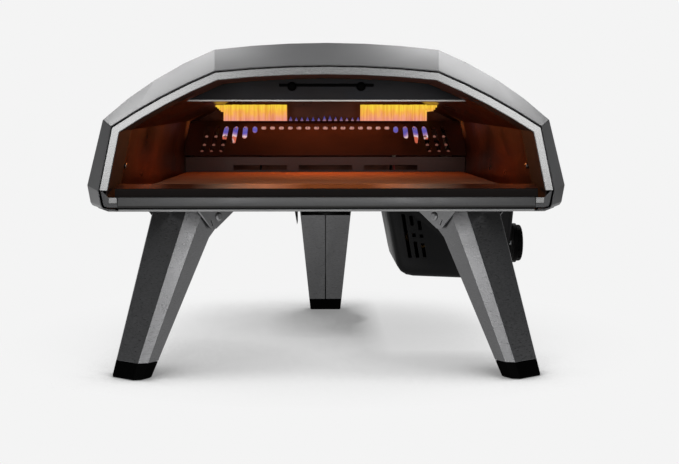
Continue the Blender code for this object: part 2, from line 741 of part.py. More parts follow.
def make_front(bright, dark):
    outer = trim_line(0)
    inner = trim_line(TRIM_WIDTH)
    upright = Matrix.Rotation(QUARTER, 4, "X")
    mesh = flat_mesh("front_trim", outer + list(reversed(inner)), TRIM_DEPTH)
    trim = place("front_trim", mesh, bright, Matrix.Translation((0, FRONT_Y + TRIM_DEPTH / 2, 0)) @ upright)
    soften(trim, TRIM_EDGE_ROUND, angle=math.radians(40))

    face_y = FRONT_Y + RAIL_SET_BACK
    profile = ((face_y + RAIL_DEPTH, RAIL_FLOOR), (face_y, RAIL_FLOOR), (face_y, RAIL_TOP),
               (face_y + RAIL_DEPTH, RAIL_TOP))
    rows = [[(x, y, z) for x in (-RAIL_HALF, RAIL_HALF)] for y, z in profile]
    rail = place("front_rail", rows_mesh("front_rail", rows), dark)
    thicken(rail, RAIL_WALL)
    soften(rail, RAIL_WALL / 3, 2)

    edge = inset(shell_half(SHELL_FRONT), -SHELL_WALL - CORNER_PLATE_EDGE)
    rim = [(RAIL_HALF + CLEAR, edge[1][1])] + edge[1:4]
    inner_x = RAIL_HALF + CLEAR
    top = TRIM_FLOOR - TRIM_GAP
    rim += [(edge[4][0], top), (edge[4][0] - TOE_MID_RUN, top),
            (edge[4][0] - TOE_MID_RUN - CORNER_PLATE_SLOPE, RAIL_TOP), (inner_x, RAIL_TOP)]
    plate_y = FRONT_Y + CORNER_PLATE_SET_BACK + PLATE_WALL / 2
    for side, word in ((-1, "left"), (1, "right")):
        outline = [(side * x, z) for x, z in rim]
        name = "corner_plate_" + word
        matrix = Matrix.Translation((0, plate_y, 0)) @ upright
        place(name, flat_mesh(name, outline, PLATE_WALL), dark, matrix)
        cap_y = FRONT_Y + CORNER_PLATE_SET_BACK - CLEAR - CAP_DEPTH
        inner = side * inner_x
        outer_cap = side * (inner_x + CAP_WIDTH)
        low = (min(inner, outer_cap), cap_y, RAIL_TOP - CAP_HEIGHT)
        high = (max(inner, outer_cap), cap_y + CAP_DEPTH, RAIL_TOP)
        cap = place("rail_cap_" + word, box_mesh("rail_cap_" + word, low, high), bright)
        soften(cap, CAP_DEPTH / 4)


def make_pan(dark):
    """The base plate under the shell's lips, with a turned-up front hem."""
    stations = ((SHELL_FRONT, FRONT_Y + CLEAR), (SHELL_RIDGE, RIDGE_Y), (SHELL_BACK_RIDGE, BACK_RIDGE_Y),
                (SHELL_REAR, REAR_Y - CLEAR))
    right = [(foot_of(outline) - TOE_RUN - CLEAR, y) for outline, y in stations]
    front_y = right[0][1]
    floor = [(x, y, PAN_FLOOR) for x, y in right] + [(-x, y, PAN_FLOOR) for x, y in reversed(right)]
    floor += [(-PAN_HEM_HALF, front_y, PAN_FLOOR), (PAN_HEM_HALF, front_y, PAN_FLOOR)]
    hem = [(PAN_HEM_HALF, front_y, PAN_HEM_TOP), (-PAN_HEM_HALF, front_y, PAN_HEM_TOP)]
    count = len(floor)
    faces = [tuple(reversed(range(count))), (count - 2, count - 1, count, count + 1)]
    pan = place("base_pan", mesh_from("base_pan", floor + hem, faces), dark)
    thicken(pan, PAN_WALL)
    low = (MIXER_X, BURNER_Y, PAN_FLOOR - OVERRUN)
    high = (MIXER_X, BURNER_Y, PAN_TOP + OVERRUN)
    carve(pan, "mixer_hole", rod_mesh("mixer_hole", MIXER_RADIUS + MIXER_HOLE_GAP, low, high, HOLE_SIDES))


def make_liner(steel, wool):
    stations = liner_stations()
    floor_z = SHELL_FLOOR + SHELL_WALL + LINER_FLOOR_GAP
    rows = []
    for y in stations:
        line = liner_arch_at(y)
        rows.append(at_depth([(line[0][0], floor_z)] + line + [(line[-1][0], floor_z)], y))
    liner = place("inner_liner", rows_mesh("inner_liner", rows), steel)
    thicken(liner, LINER_WALL, outward=True)

    inner_rows = []
    outer_rows = []
    for y in stations[1:]:
        line = liner_arch_at(y)
        inner_rows.append(at_depth(inset(line, -LINER_WALL - BLANKET_GAP), y))
        outer_rows.append(at_depth(blended(inset(line, -LINER_WALL), shell_arch_at(y), JACKET_SHARE), y))
    rings = [inner + list(reversed(outer)) for inner, outer in zip(inner_rows, outer_rows)]
    place("insulation_blanket", jacket_mesh("insulation_blanket", rings), wool)

    upright = Matrix.Rotation(QUARTER, 4, "X")
    wall_y = LINER_END_Y + CLEAR + PLATE_WALL / 2
    line = inset(liner_arch_at(LINER_END_Y), -LINER_WALL)
    outline = [(line[0][0], floor_z)] + line + [(line[-1][0], floor_z)]
    mesh = flat_mesh("inner_back_wall", outline, PLATE_WALL)
    place("inner_back_wall", mesh, steel, Matrix.Translation((0, wall_y, 0)) @ upright)
    line = inset(liner_arch_at(LINER_END_Y), BACK_PAD_INSET)
    pad_y = wall_y + PLATE_WALL / 2 + CLEAR + BACK_PAD_DEPTH / 2
    mesh = flat_mesh("insulation_pad", line, BACK_PAD_DEPTH)
    place("insulation_pad", mesh, wool, Matrix.Translation((0, pad_y, 0)) @ upright)

    for side, word in ((-1, "left"), (1, "right")):
        rivet_y = FRONT_Y + RIVET_BEHIND_FRONT
        line = liner_arch_at(rivet_y)
        rivet_z = inside_height(RIVET_HEIGHT_SHARE)
        wall_x = half_width(line, rivet_z)
        lean = math.atan2(line[1][0] - line[0][0], line[1][1] - line[0][1])
        matrix = Matrix.Translation((side * (wall_x - CLEAR * 2), rivet_y, rivet_z))
        matrix = matrix @ Matrix.Rotation(-side * (QUARTER + lean), 4, "Y")
        turned("liner_rivet_" + word, head_profile(RIVET_RADIUS, RIVET_HEAD), RIVET_SIDES, steel, matrix)


def jacket_mesh(name, rings):
    """A thick arch through U-shaped rings: each ring is its inner line and then its outer line back."""
    width = len(rings[0])
    half = width // 2
    faces = []
    for index in range(half - 1):
        partner = width - 1 - index
        faces.append((index, index + 1, partner - 1, partner))
        base = (len(rings) - 1) * width
        faces.append((base + index, base + partner, base + partner - 1, base + index + 1))
    for ring in range(len(rings) - 1):
        for index in range(width):
            low = ring * width + index
            next_low = ring * width + (index + 1) % width
            faces.append((low, low + width, next_low + width, next_low))
    shape = bmesh.new()
    shape.from_mesh(mesh_from(name, [point for ring in rings for point in ring], faces))
    bmesh.ops.recalc_face_normals(shape, faces=shape.faces)
    return mesh_of(shape, name)


def make_baffle(steel, black):
    """The plate that hangs across the mouth under the liner's ceiling, with a lip, a hanger and studs."""
    line = inset(liner_arch_at(BAFFLE_Y), CLEAR)
    crown = max(z for x, z in line)
    floor = crown - BAFFLE_DROP
    half = half_width(line, floor)
    lip_y = BAFFLE_Y + BAFFLE_LIP
    lip_half = half - BAFFLE_LIP
    above = [point for point in line if point[1] > floor]
    rim = [(-lip_half, floor), (-half, floor)] + above + [(half, floor), (lip_half, floor)]
    points = at_depth(rim, BAFFLE_Y) + [(lip_half, lip_y, floor), (-lip_half, lip_y, floor)]
    count = len(rim)
    faces = [tuple(reversed(range(count))), (count + 1, count, count - 1, 0)]
    baffle = place("baffle_plate", mesh_from("baffle_plate", points, faces), steel)
    thicken(baffle, BAFFLE_WALL)

    face_y = BAFFLE_Y - CLEAR
    low = (-HANGER_HALF, face_y - HANGER_DEPTH, crown - HANGER_DROP)
    high = (HANGER_HALF, face_y, crown - HANGER_DROP + HANGER_HEIGHT)
    hanger = place("baffle_hanger", box_mesh("baffle_hanger", low, high), black)
    soften(hanger, HANGER_DEPTH / 6)
    stud_y = face_y - HANGER_DEPTH - CLEAR
    stud_z = crown - HANGER_DROP + STUD_LIFT
    profile = head_profile(STUD_RADIUS, STUD_DEPTH)
    for side, word in ((-1, "left"), (1, "right")):
        matrix = Matrix.Translation((side * STUD_X, stud_y, stud_z)) @ Matrix.Rotation(QUARTER, 4, "X")
        turned("hanger_stud_" + word, profile, STUD_SIDES, black, matrix)


def make_back_plate(steel):
    """The plate behind the stone, with three long slots and a ledge on top."""
    half = LINER_BACK.waist - CLEAR
    floor_z = PAN_TOP + CLEAR
    profile = ((BACK_PLATE_Y, floor_z), (BACK_PLATE_Y, BACK_PLATE_TOP),
               (BACK_PLATE_Y + BACK_PLATE_LEDGE, BACK_PLATE_TOP))
    rows = [[(x, y, z) for x in (-half, half)] for y, z in profile]
    plate = place("lower_back_plate", rows_mesh("lower_back_plate", rows), steel)
    thicken(plate, PLATE_WALL)
    slots = []
    for column in (-1, 0, 1):
        middle = column * BACK_SLOT_PITCH
        low = (middle - BACK_SLOT / 2, BACK_PLATE_Y - OVERRUN, BACK_SLOT_Z - BACK_SLOT_HEIGHT / 2)
        high = (middle + BACK_SLOT / 2, BACK_PLATE_Y + OVERRUN, BACK_SLOT_Z + BACK_SLOT_HEIGHT / 2)
        slots.append(box_mesh("slot", low, high))
    carve(plate, "back_slots", joined("back_slots", slots))


def oval(name, x, low_z, high_z, y0, y1, lean=0):
    """An oval hole from one depth to another. A lean moves its foot sideways, by a share of its height."""
    width = HOLE_WIDTH
    height = high_z - low_z
    across = min(width, height)
    middle_z = (low_z + high_z) / 2
    reach_x = (width - across) / 2
    reach_z = (height - across) / 2
    points = []
    for step in range(OVAL_SIDES):
        angle = math.tau * (step + 0.5) / OVAL_SIDES
        cosine = math.cos(angle)
        sine = math.sin(angle)
        z = middle_z + math.copysign(reach_z, sine) + across / 2 * sine
        points.append((x + lean * (high_z - z) + math.copysign(reach_x, cosine) + across / 2 * cosine, z))
    return solid_mesh(name, [at_depth(points, y0), at_depth(points, y1)])


def make_guard(steel):
    """The sloping perforated plate in front of the burner."""
    line = inset(mirrored(arch(LINER_BACK)), CLEAR)
    bends = [z for x, z in line[:len(line) // 2] if GUARD_FLOOR < z < GUARD_TOP]
    rows = []
    for z in [GUARD_FLOOR] + bends + [GUARD_TOP]:
        y = GUARD_FLOOR_Y + (GUARD_TOP_Y - GUARD_FLOOR_Y) * (z - GUARD_FLOOR) / (GUARD_TOP - GUARD_FLOOR)
        half = half_width(line, z)
        rows.append([(-half, y, z), (half, y, z)])
    ledge_y = GUARD_TOP_Y + GUARD_LEDGE
    rows.append([(-half, ledge_y, GUARD_TOP), (half, ledge_y, GUARD_TOP)])
    guard = place("burner_guard", rows_mesh("burner_guard", rows), steel)
    thicken(guard, GUARD_WALL)
    y0 = GUARD_FLOOR_Y - OVERRUN
    y1 = GUARD_TOP_Y + OVERRUN
    half_height = HOLE_HEIGHT / 2
    row_z = inside_height(HOLE_ROW_SHARE)
    slot_top = inside_height(SLOT_TOP_SHARE)
    holes = []
    for index in range(-PLAIN_HOLE_COUNT, PLAIN_HOLE_COUNT + 1):
        holes.append(oval("hole", index * HOLE_PITCH, row_z - half_height, row_z + half_height, y0, y1))
    for side in (-1, 1):
        first = (PLAIN_HOLE_COUNT + 1) * HOLE_PITCH
        holes.append(oval("hole", side * first, inside_height(SHORT_SLOT_SHARE), slot_top, y0, y1))
        for column, (share, lean) in enumerate(zip(LONG_SLOT_SHARES, LONG_SLOT_LEANS), 1):
            x = side * (first + column * OUTER_HOLE_PITCH)
            holes.append(oval("hole", x, inside_height(share), slot_top, y0, y1, side * lean))
    carve(guard, "guard_holes", joined("guard_holes", holes))


def make_burner(steel, brass):
    """Burner tube with ports, its saddles, the mixing tube and the jet."""
    outline = [(BURNER_RADIUS * math.cos(math.tau * step / BURNER_SIDES),
                BURNER_RADIUS * math.sin(math.tau * step / BURNER_SIDES)) for step in range(BURNER_SIDES)]
    rings = []
    for x in (BURNER_LEFT, BURNER_RIGHT):
        rings.append([(x, BURNER_Y + y, BURNER_Z + z) for y, z in outline])
    tube = place("burner_tube", solid_mesh("burner_tube", rings), steel)
    start = (BURNER_LEFT + BURNER_WALL, BURNER_Y, BURNER_Z)
    end = (BURNER_RIGHT + OVERRUN, BURNER_Y, BURNER_Z)
    bore = rod_mesh("burner_bore", BURNER_RADIUS - BURNER_WALL, start, end, BURNER_SIDES)
    carve(tube, "burner_bore", bore)
    ports = []
    port_top = BURNER_Z + BURNER_RADIUS + OVERRUN
    for index in range(PORT_COUNT):
        x = BURNER_LEFT + PORT_END_GAP + PORT_SPAN * index / (PORT_COUNT - 1)
        ports.append(box_mesh("port", (x - PORT_WIDTH / 2, BURNER_Y - PORT_LENGTH / 2, BURNER_Z),
                              (x + PORT_WIDTH / 2, BURNER_Y + PORT_LENGTH / 2, port_top)))
    carve(tube, "burner_ports", joined("burner_ports", ports))

    saddle_top = BURNER_Z - BURNER_RADIUS - CLEAR
    for side, word in ((-1, "left"), (1, "right")):
        x = side * SADDLE_X
        floor_z = PAN_TOP + CLEAR
        profile = ((x + SADDLE_FOOT, floor_z), (x, floor_z), (x, saddle_top))
        rows = [[(px, y, pz) for y in (BURNER_Y - SADDLE_WIDTH / 2, BURNER_Y + SADDLE_WIDTH / 2)]
                for px, pz in profile]
        name = "burner_saddle_" + word
        saddle = place(name, rows_mesh(name, rows), steel)
        thicken(saddle, SADDLE_WALL, outward=True)

    path = rounded_path([(MIXER_X, BURNER_Y, MIXER_FLOOR), (MIXER_X, BURNER_Y, BURNER_Z),
                         (BURNER_RIGHT + CLEAR, BURNER_Y, BURNER_Z)], MIXER_BEND)
    mixer = place("mixing_tube", tube_mesh("mixing_tube", path, MIXER_RADIUS), steel)
    inner_path = [Vector((MIXER_X, BURNER_Y, MIXER_FLOOR - OVERRUN))] + path[1:-1]
    inner_path.append(Vector((BURNER_RIGHT - OVERRUN, BURNER_Y, BURNER_Z)))
    carve(mixer, "mixer_bore", tube_mesh("mixer_bore", inner_path, MIXER_RADIUS - MIXER_WALL))

    jet_top = MIXER_FLOOR - JET_BELOW_MIXER
    profile = [(0, JET_HEIGHT), (JET_TIP_RADIUS, JET_HEIGHT), (JET_RADIUS, JET_HEIGHT / 2), (JET_RADIUS, 0),
               (0, 0)]
    matrix = Matrix.Translation((MIXER_X, BURNER_Y, jet_top - JET_HEIGHT))
    turned("gas_jet", profile, RIVET_SIDES, brass, matrix)


def make_stone(stone_finish, steel):
    back_y = BACK_PLATE_Y - PLATE_WALL - STONE_BACK_GAP
    stone = place("baking_stone", box_mesh("baking_stone", (-STONE_HALF, STONE_FRONT_Y, STONE_FLOOR),
                                           (STONE_HALF, back_y, STONE_TOP)), stone_finish)
    soften(stone, STONE_ROUND, 2)
    rail_floor = PAN_TOP + CLEAR
    rail_top = STONE_FLOOR - CLEAR - STONE_RAIL_WALL
    for side, word in ((-1, "left"), (1, "right")):
        x = side * STONE_RAIL_X
        flange = STONE_RAIL_HALF / 2
        profile = ((x - STONE_RAIL_HALF - flange, rail_floor), (x - STONE_RAIL_HALF, rail_floor),
                   (x - STONE_RAIL_HALF, rail_top), (x + STONE_RAIL_HALF, rail_top),
                   (x + STONE_RAIL_HALF, rail_floor), (x + STONE_RAIL_HALF + flange, rail_floor))
        rows = [[(px, y, pz) for px, pz in profile]
                for y in (STONE_FRONT_Y + STONE_RAIL_INSET, back_y - STONE_RAIL_INSET)]
        name = "stone_rail_" + word
        rail = place(name, rows_mesh(name, rows), steel)
        thicken(rail, STONE_RAIL_WALL, outward=True)
    face_y = FRONT_Y + THRESHOLD_BEHIND_FRONT
    top_y = face_y + THRESHOLD_RUN
    tail_y = top_y + THRESHOLD_TAIL
    top_z = STONE_TOP + THRESHOLD_LIP
    profile = ((face_y, PAN_TOP + CLEAR), (face_y, STONE_TOP - THRESHOLD_EDGE_DROP), (top_y, top_z),
               (tail_y, top_z - THRESHOLD_TAIL))
    half = half_width(liner_arch_at(tail_y), STONE_TOP) - THRESHOLD_SIDE_GAP
    rows = [[(x, y, z) for x in (-half, half)] for y, z in profile]
    plate = place("threshold_plate", rows_mesh("threshold_plate", rows), steel)
    thicken(plate, THRESHOLD_WALL)


def make_back_panel(dark, steel):
    outline = inset(mirrored(shell_half(SHELL_REAR)), SHELL_WALL + TRIM_GAP)[1:-1]
    upright = Matrix.Rotation(QUARTER, 4, "X")
    face_y = REAR_Y - BACK_PANEL_INSET
    matrix = Matrix.Translation((0, face_y - BACK_PANEL_WALL / 2, 0)) @ upright
    panel = place("back_panel", flat_mesh("back_panel", outline, BACK_PANEL_WALL), dark, matrix)
    vents = []
    reach = BACK_PANEL_WALL + OVERRUN
    for share in VENT_ROW_SHARES:
        z = SHELL_FLOOR + share * (SHELL_REAR.crown_z - SHELL_FLOOR)
        for column in range(VENT_COUNT):
            x = (column - (VENT_COUNT - 1) / 2) * VENT_PITCH
            vents.append(box_mesh("vent", (x - VENT_WIDTH / 2, z - VENT_HEIGHT / 2, -reach),
                                  (x + VENT_WIDTH / 2, z + VENT_HEIGHT / 2, reach)))
    carve(panel, "back_vents", joined("back_vents", vents))
    heights = (SHELL_FLOOR + SCREW_ABOVE_FLOOR, SHELL_REAR.crown_z - SCREW_BELOW_CROWN)
    places = [(side * (half_width(outline, z) - SCREW_EDGE), z) for z in heights for side in (-1, 1)]
    for number, (x, z) in enumerate(places, 1):
        matrix = Matrix.Translation((x, face_y + CLEAR, z)) @ Matrix.Rotation(-QUARTER, 4, "X")
        turned(f"back_screw_{number}", head_profile(SCREW_RADIUS, SCREW_HEAD), SCREW_SIDES, steel, matrix)


def leg_section(z):
    """Half web, fold, wall depth and the web's reach from the pivot, at a height above the ground."""
    share = z / LEG_TOP_Z
    half = WEB_HALF_FOOT + (WEB_HALF_TOP - WEB_HALF_FOOT) * share
    fold = FOLD_FOOT + (FOLD_TOP - FOLD_FOOT) * share
    wall = WALL_FOOT + (WALL_TOP - WALL_FOOT) * share
    return half, fold, wall, LEG_TOP_REACH + math.tan(LEG_SPLAY) * (LEG_TOP_Z - z)


def leg_ring(z, margin=0.0):
    """The six corners of the leg's outline at a height, drawn in by a margin."""
    half, fold, wall, reach = leg_section(z)
    bite = margin * math.tan(math.pi / 8)
    outer = reach - margin
    side = half + fold - margin
    inner = reach - fold - wall + margin
    corner = half - bite
    fold_u = reach - fold - bite
    height = z - PIVOT_Z
    return [(outer, -corner, height), (outer, corner, height), (fold_u, side, height), (inner, side, height),
            (inner, -side, height), (fold_u, -side, height)]


def leg_mesh():
    """The folded leg as an open surface: web, two folds, two walls with ears, two returns."""
    low_z = CAP_FOOT_HEIGHT + CLEAR + LEG_WALL * math.sin(LEG_SPLAY)
    points = []
    faces = []

    def add(u, v, z):
        points.append((u, v, z - PIVOT_Z))
        return len(points) - 1

    webs = {}
    for side in (-1, 1):
        for z in (low_z, LEG_TOP_Z):
            half, fold, wall, reach = leg_section(z)
            webs[side, z] = add(reach, side * half, z)
    faces.append((webs[-1, low_z], webs[1, low_z], webs[1, LEG_TOP_Z], webs[-1, LEG_TOP_Z]))
    for side in (-1, 1):
        folds = {}
        for z in (low_z, LEG_TOP_Z):
            half, fold, wall, reach = leg_section(z)
            folds[z] = add(reach - fold, side * (half + fold), z)
        quad = (webs[side, low_z], folds[low_z], folds[LEG_TOP_Z], webs[side, LEG_TOP_Z])
        faces.append(quad if side > 0 else tuple(reversed(quad)))
        rim = [folds[low_z], folds[LEG_TOP_Z]]
        for step in range(EAR_STEPS + 1):
            angle = QUARTER + EAR_SWEEP * step / EAR_STEPS
            z = PIVOT_Z + EAR_RADIUS * math.sin(angle)
            half, fold, wall, reach = leg_section(z)
            rim.append(add(EAR_RADIUS * math.cos(angle), side * (half + fold), z))
        returns = {}
        for z in (RETURN_Z, low_z):
            half, fold, wall, reach = leg_section(z)
            returns[z] = add(reach - fold - wall, side * (half + fold), z)
            rim.append(returns[z])
        faces.append(tuple(reversed(rim)) if side > 0 else tuple(rim))
        slits = {}
        for z in (RETURN_Z, low_z):
            half, fold, wall, reach = leg_section(z)
            slits[z] = add(reach - fold - wall, side * SLIT_HALF, z)
        quad = (returns[low_z], slits[low_z], slits[RETURN_Z], returns[RETURN_Z])
        faces.append(quad if side > 0 else tuple(reversed(quad)))
    return mesh_from("leg", points, faces)


def cheek_line():
    """The bracket's cheek, seen along the pivot, from its inner top corner round to its outer one."""
    top = LEG_TOP_Z + CLEAR + BRACKET_WALL - PIVOT_Z
    low = top - CHEEK_DROP
    return [(-CHEEK_IN, top), (CHEEK_LOW_IN, low), (CHEEK_LOW_OUT, low), (CHEEK_OUT, top)]


def bracket_mesh(cheek_v):
    """Top plate and two cheeks, as an open surface."""
    points = []
    faces = []
    for side in (-1, 1):
        base = len(points)
        points += [(u, side * cheek_v, z) for u, z in cheek_line()]
        loop = (base, base + 1, base + 2, base + 3)
        faces.append(tuple(reversed(loop)) if side > 0 else loop)
    faces.append((0, 3, 7, 4))
    return mesh_from("bracket", points, faces)


def catch_mesh():
    """The catch in its own frame: it hangs from a barrel along X, and its nose turns in below the cheek."""
    outline = []
    for step in range(CATCH_BARREL_STEPS + 1):
        angle = math.pi * step / CATCH_BARREL_STEPS
        outline.append((CATCH_BARREL * math.cos(angle), CATCH_BARREL * math.sin(angle)))
    outline += [(-CATCH_BARREL, -CATCH_STEP_DROP), (CATCH_NOSE, -CATCH_STEP_DROP),
                (CATCH_NOSE, -CATCH_NOSE_DROP), (CATCH_TIP, -CATCH_LENGTH), (0, -CATCH_OUTER_DROP)]
    rows = [[(x, y, z) for y, z in outline] for x in (0, CATCH_WIDTH)]
    return solid_mesh("catch", rows)


def make_leg(word, pivot, turn, catch_side, steel, bright, rubber, black):
    """One leg with its bracket, pin, foot and catch, all placed from the pivot."""
    hub = bpy.data.objects.new(f"leg_{word}_pivot", None)
    bpy.data.collections["pizza_oven"].objects.link(hub)
    hub.matrix_world = Matrix.Translation(pivot) @ Matrix.Rotation(turn, 4, "Z")

    cheek_outer = BRACKET_HALF
    pin_line = ((0, -cheek_outer - OVERRUN, 0), (0, cheek_outer + OVERRUN, 0))
    pin_hole = rod_mesh("pin_hole", PIN_RADIUS + CLEAR, *pin_line, PIN_SIDES)

    leg = place(f"leg_{word}", leg_mesh(), steel, parent=hub)
    thicken(leg, LEG_WALL)
    carve(leg, "leg_pin_hole", pin_hole)

    plug_inset = (LEG_WALL + CLEAR) / math.cos(LEG_SPLAY)
    rings = [leg_ring(0, SOLE_ROUND), leg_ring(SOLE_ROUND), leg_ring(CAP_FOOT_HEIGHT),
             leg_ring(CAP_FOOT_HEIGHT, plug_inset), leg_ring(CAP_FOOT_HEIGHT + PLUG_HEIGHT, plug_inset)]
    place(f"foot_{word}", solid_mesh("foot", rings), rubber, parent=hub)

    bracket = place(f"leg_bracket_{word}", bracket_mesh(cheek_outer), bright, parent=hub)
    thicken(bracket, BRACKET_WALL)
    carve(bracket, "bracket_pin_hole", pin_hole.copy())
    for side in (-1, 1):
        centre = Matrix.Translation((LOCK_SLOT_RADIUS, side * cheek_outer, 0))
        high = Vector((LOCK_SLOT_WIDTH / 2, OVERRUN, LOCK_SLOT_LENGTH / 2))
        slot = box_mesh("lock_slot", -high, high)
        carve(bracket, "lock_slot", slot, Matrix.Rotation(-LOCK_SLOT_TURN, 4, "Y") @ centre)

    shaft_end = cheek_outer + CLEAR
    profile = head_profile(PIN_HEAD_RADIUS, PIN_HEAD, shaft_end)[:-1] + [(PIN_RADIUS, shaft_end)]
    profile += [(x, -z) for x, z in reversed(profile)]
    turned(f"pivot_pin_{word}", profile, PIN_SIDES, steel, Matrix.Rotation(QUARTER, 4, "X"), hub)

    barrel_v = catch_side * (cheek_outer + CLEAR + CATCH_BARREL)
    top = LEG_TOP_Z + CLEAR + BRACKET_WALL - PIVOT_Z
    near = CATCH_NEAR if catch_side > 0 else CATCH_NEAR + CATCH_WIDTH
    matrix = Matrix.Translation((near, barrel_v, top - CATCH_TOP_DROP))
    matrix = matrix @ Matrix.Rotation(0 if catch_side > 0 else math.pi, 4, "Z")
    place(f"leg_catch_{word}", catch_mesh(), black, matrix, hub)


def make_legs(steel, bright, rubber, black):
    pivots = (("left", (-FRONT_PIVOT_X, FRONT_PIVOT_Y, PIVOT_Z), -QUARTER - LEG_TURN, -1),
              ("right", (FRONT_PIVOT_X, FRONT_PIVOT_Y, PIVOT_Z), -QUARTER + LEG_TURN, 1),
              ("rear", (0, REAR_PIVOT_Y, PIVOT_Z), QUARTER, 1))
    for word, pivot, turn, catch_side in pivots:
        make_leg(word, pivot, turn, catch_side, steel, bright, rubber, black)


def housing_line(margin):
    """The housing's outline from the front, round its lower corners, drawn in by a margin."""
    left_low = Vector((HOUSING_TOP_LEFT + HOUSING_LOW_LEFT_IN, HOUSING_TOP - HOUSING_LOW_LEFT_DROP))
    left_floor = Vector((HOUSING_TOP_LEFT + HOUSING_FLOOR_LEFT_IN, HOUSING_TOP - HOUSING_FLOOR_LEFT_DROP))
    right_floor = Vector((HOUSING_FLOOR_RIGHT, HOUSING_FLOOR_Z))
    right_low = Vector((HOUSING_TOP_RIGHT - HOUSING_LOW_RIGHT_IN, HOUSING_TOP - HOUSING_LOW_RIGHT_DROP))
    left_corner = Vector((left_low.x + HOUSING_WALL, left_floor.y + HOUSING_WALL / 2))
    right_corner = Vector((right_low.x - HOUSING_WALL / 2, HOUSING_FLOOR_Z))
    line = [(HOUSING_TOP_LEFT, HOUSING_TOP)]
    for start, corner, end in ((left_low, left_corner, left_floor), (right_floor, right_corner, right_low)):
        for step in range(HOUSING_CORNER_STEPS + 1):
            share = step / HOUSING_CORNER_STEPS
            line.append(tuple(start.lerp(corner, share).lerp(corner.lerp(end, share), share)))
    line.append((HOUSING_TOP_RIGHT, HOUSING_TOP))
    return levelled(inset(line, -margin), HOUSING_TOP)


def housing_rings(radius, front_y, rear_y, margin):
    """Rings of a tub whose front and rear edges are rounded."""
    rings = []
    for edge_y, inward in ((front_y, 1), (rear_y, -1)):
        corner = []
        for step in range(HOUSING_EDGE_STEPS + 1):
            angle = QUARTER * step / HOUSING_EDGE_STEPS
            bite = radius * (1 - math.sin(angle))
            y = edge_y + inward * radius * (1 - math.cos(angle))
            corner.append(at_depth(housing_line(margin + bite), y))
        rings += corner if inward > 0 else list(reversed(corner))
    return rings


def make_housing(black):
    rings = housing_rings(HOUSING_ROUND, HOUSING_FRONT_Y, HOUSING_REAR_Y, 0)
    housing = place("burner_housing", solid_mesh("burner_housing", rings), black)
    cavity = []
    for ring in housing_rings(HOUSING_ROUND - HOUSING_WALL, HOUSING_FRONT_Y + HOUSING_WALL,
                              HOUSING_REAR_Y - HOUSING_WALL, HOUSING_WALL):
        y = ring[0][1]
        high = HOUSING_TOP + OVERRUN
        cavity.append([(ring[0][0], y, high)] + ring + [(ring[-1][0], y, high)])
    carve(housing, "housing_cavity", solid_mesh("housing_cavity", cavity))
    slots = []
    half = VENT_SLOT_WIDTH / 2
    for column, spans in enumerate(VENT_SPAN_SHARES):
        x = HOUSING_TOP_LEFT + VENT_FIRST_IN + column * VENT_COLUMN_PITCH
        middle = (spans[0][0] + spans[-1][1]) / 2
        for low_share, high_share in spans:
            outline = []
            corners = ((low_share, -half), (low_share, half), (high_share, half), (high_share, -half))
            for share, edge in corners:
                lean = (middle - share) * HOUSING_DROP * VENT_LEAN_SHARE
                outline.append((x + lean + edge, HOUSING_FLOOR_Z + share * HOUSING_DROP))
            slots.append(solid_mesh("slot", [at_depth(outline, HOUSING_FRONT_Y - OVERRUN),
                                             at_depth(outline, HOUSING_FRONT_Y + OVERRUN)]))
    carve(housing, "housing_vents", joined("housing_vents", slots))
    start = (HOUSING_TOP_RIGHT + OVERRUN, KNOB_Y, KNOB_Z)
    end = (HOUSING_FLOOR_RIGHT, KNOB_Y, KNOB_Z)
    carve(housing, "spindle_hole", rod_mesh("spindle_hole", SPINDLE_HOLE_RADIUS, start, end, HOLE_SIDES))
    start = (INLET_X, HOUSING_REAR_Y - OVERRUN, INLET_Z)
    end = (INLET_X, HOUSING_REAR_Y + OVERRUN, INLET_Z)
    carve(housing, "inlet_hole", rod_mesh("inlet_hole", INLET_BARREL_RADIUS + CLEAR, start, end, HOLE_SIDES))


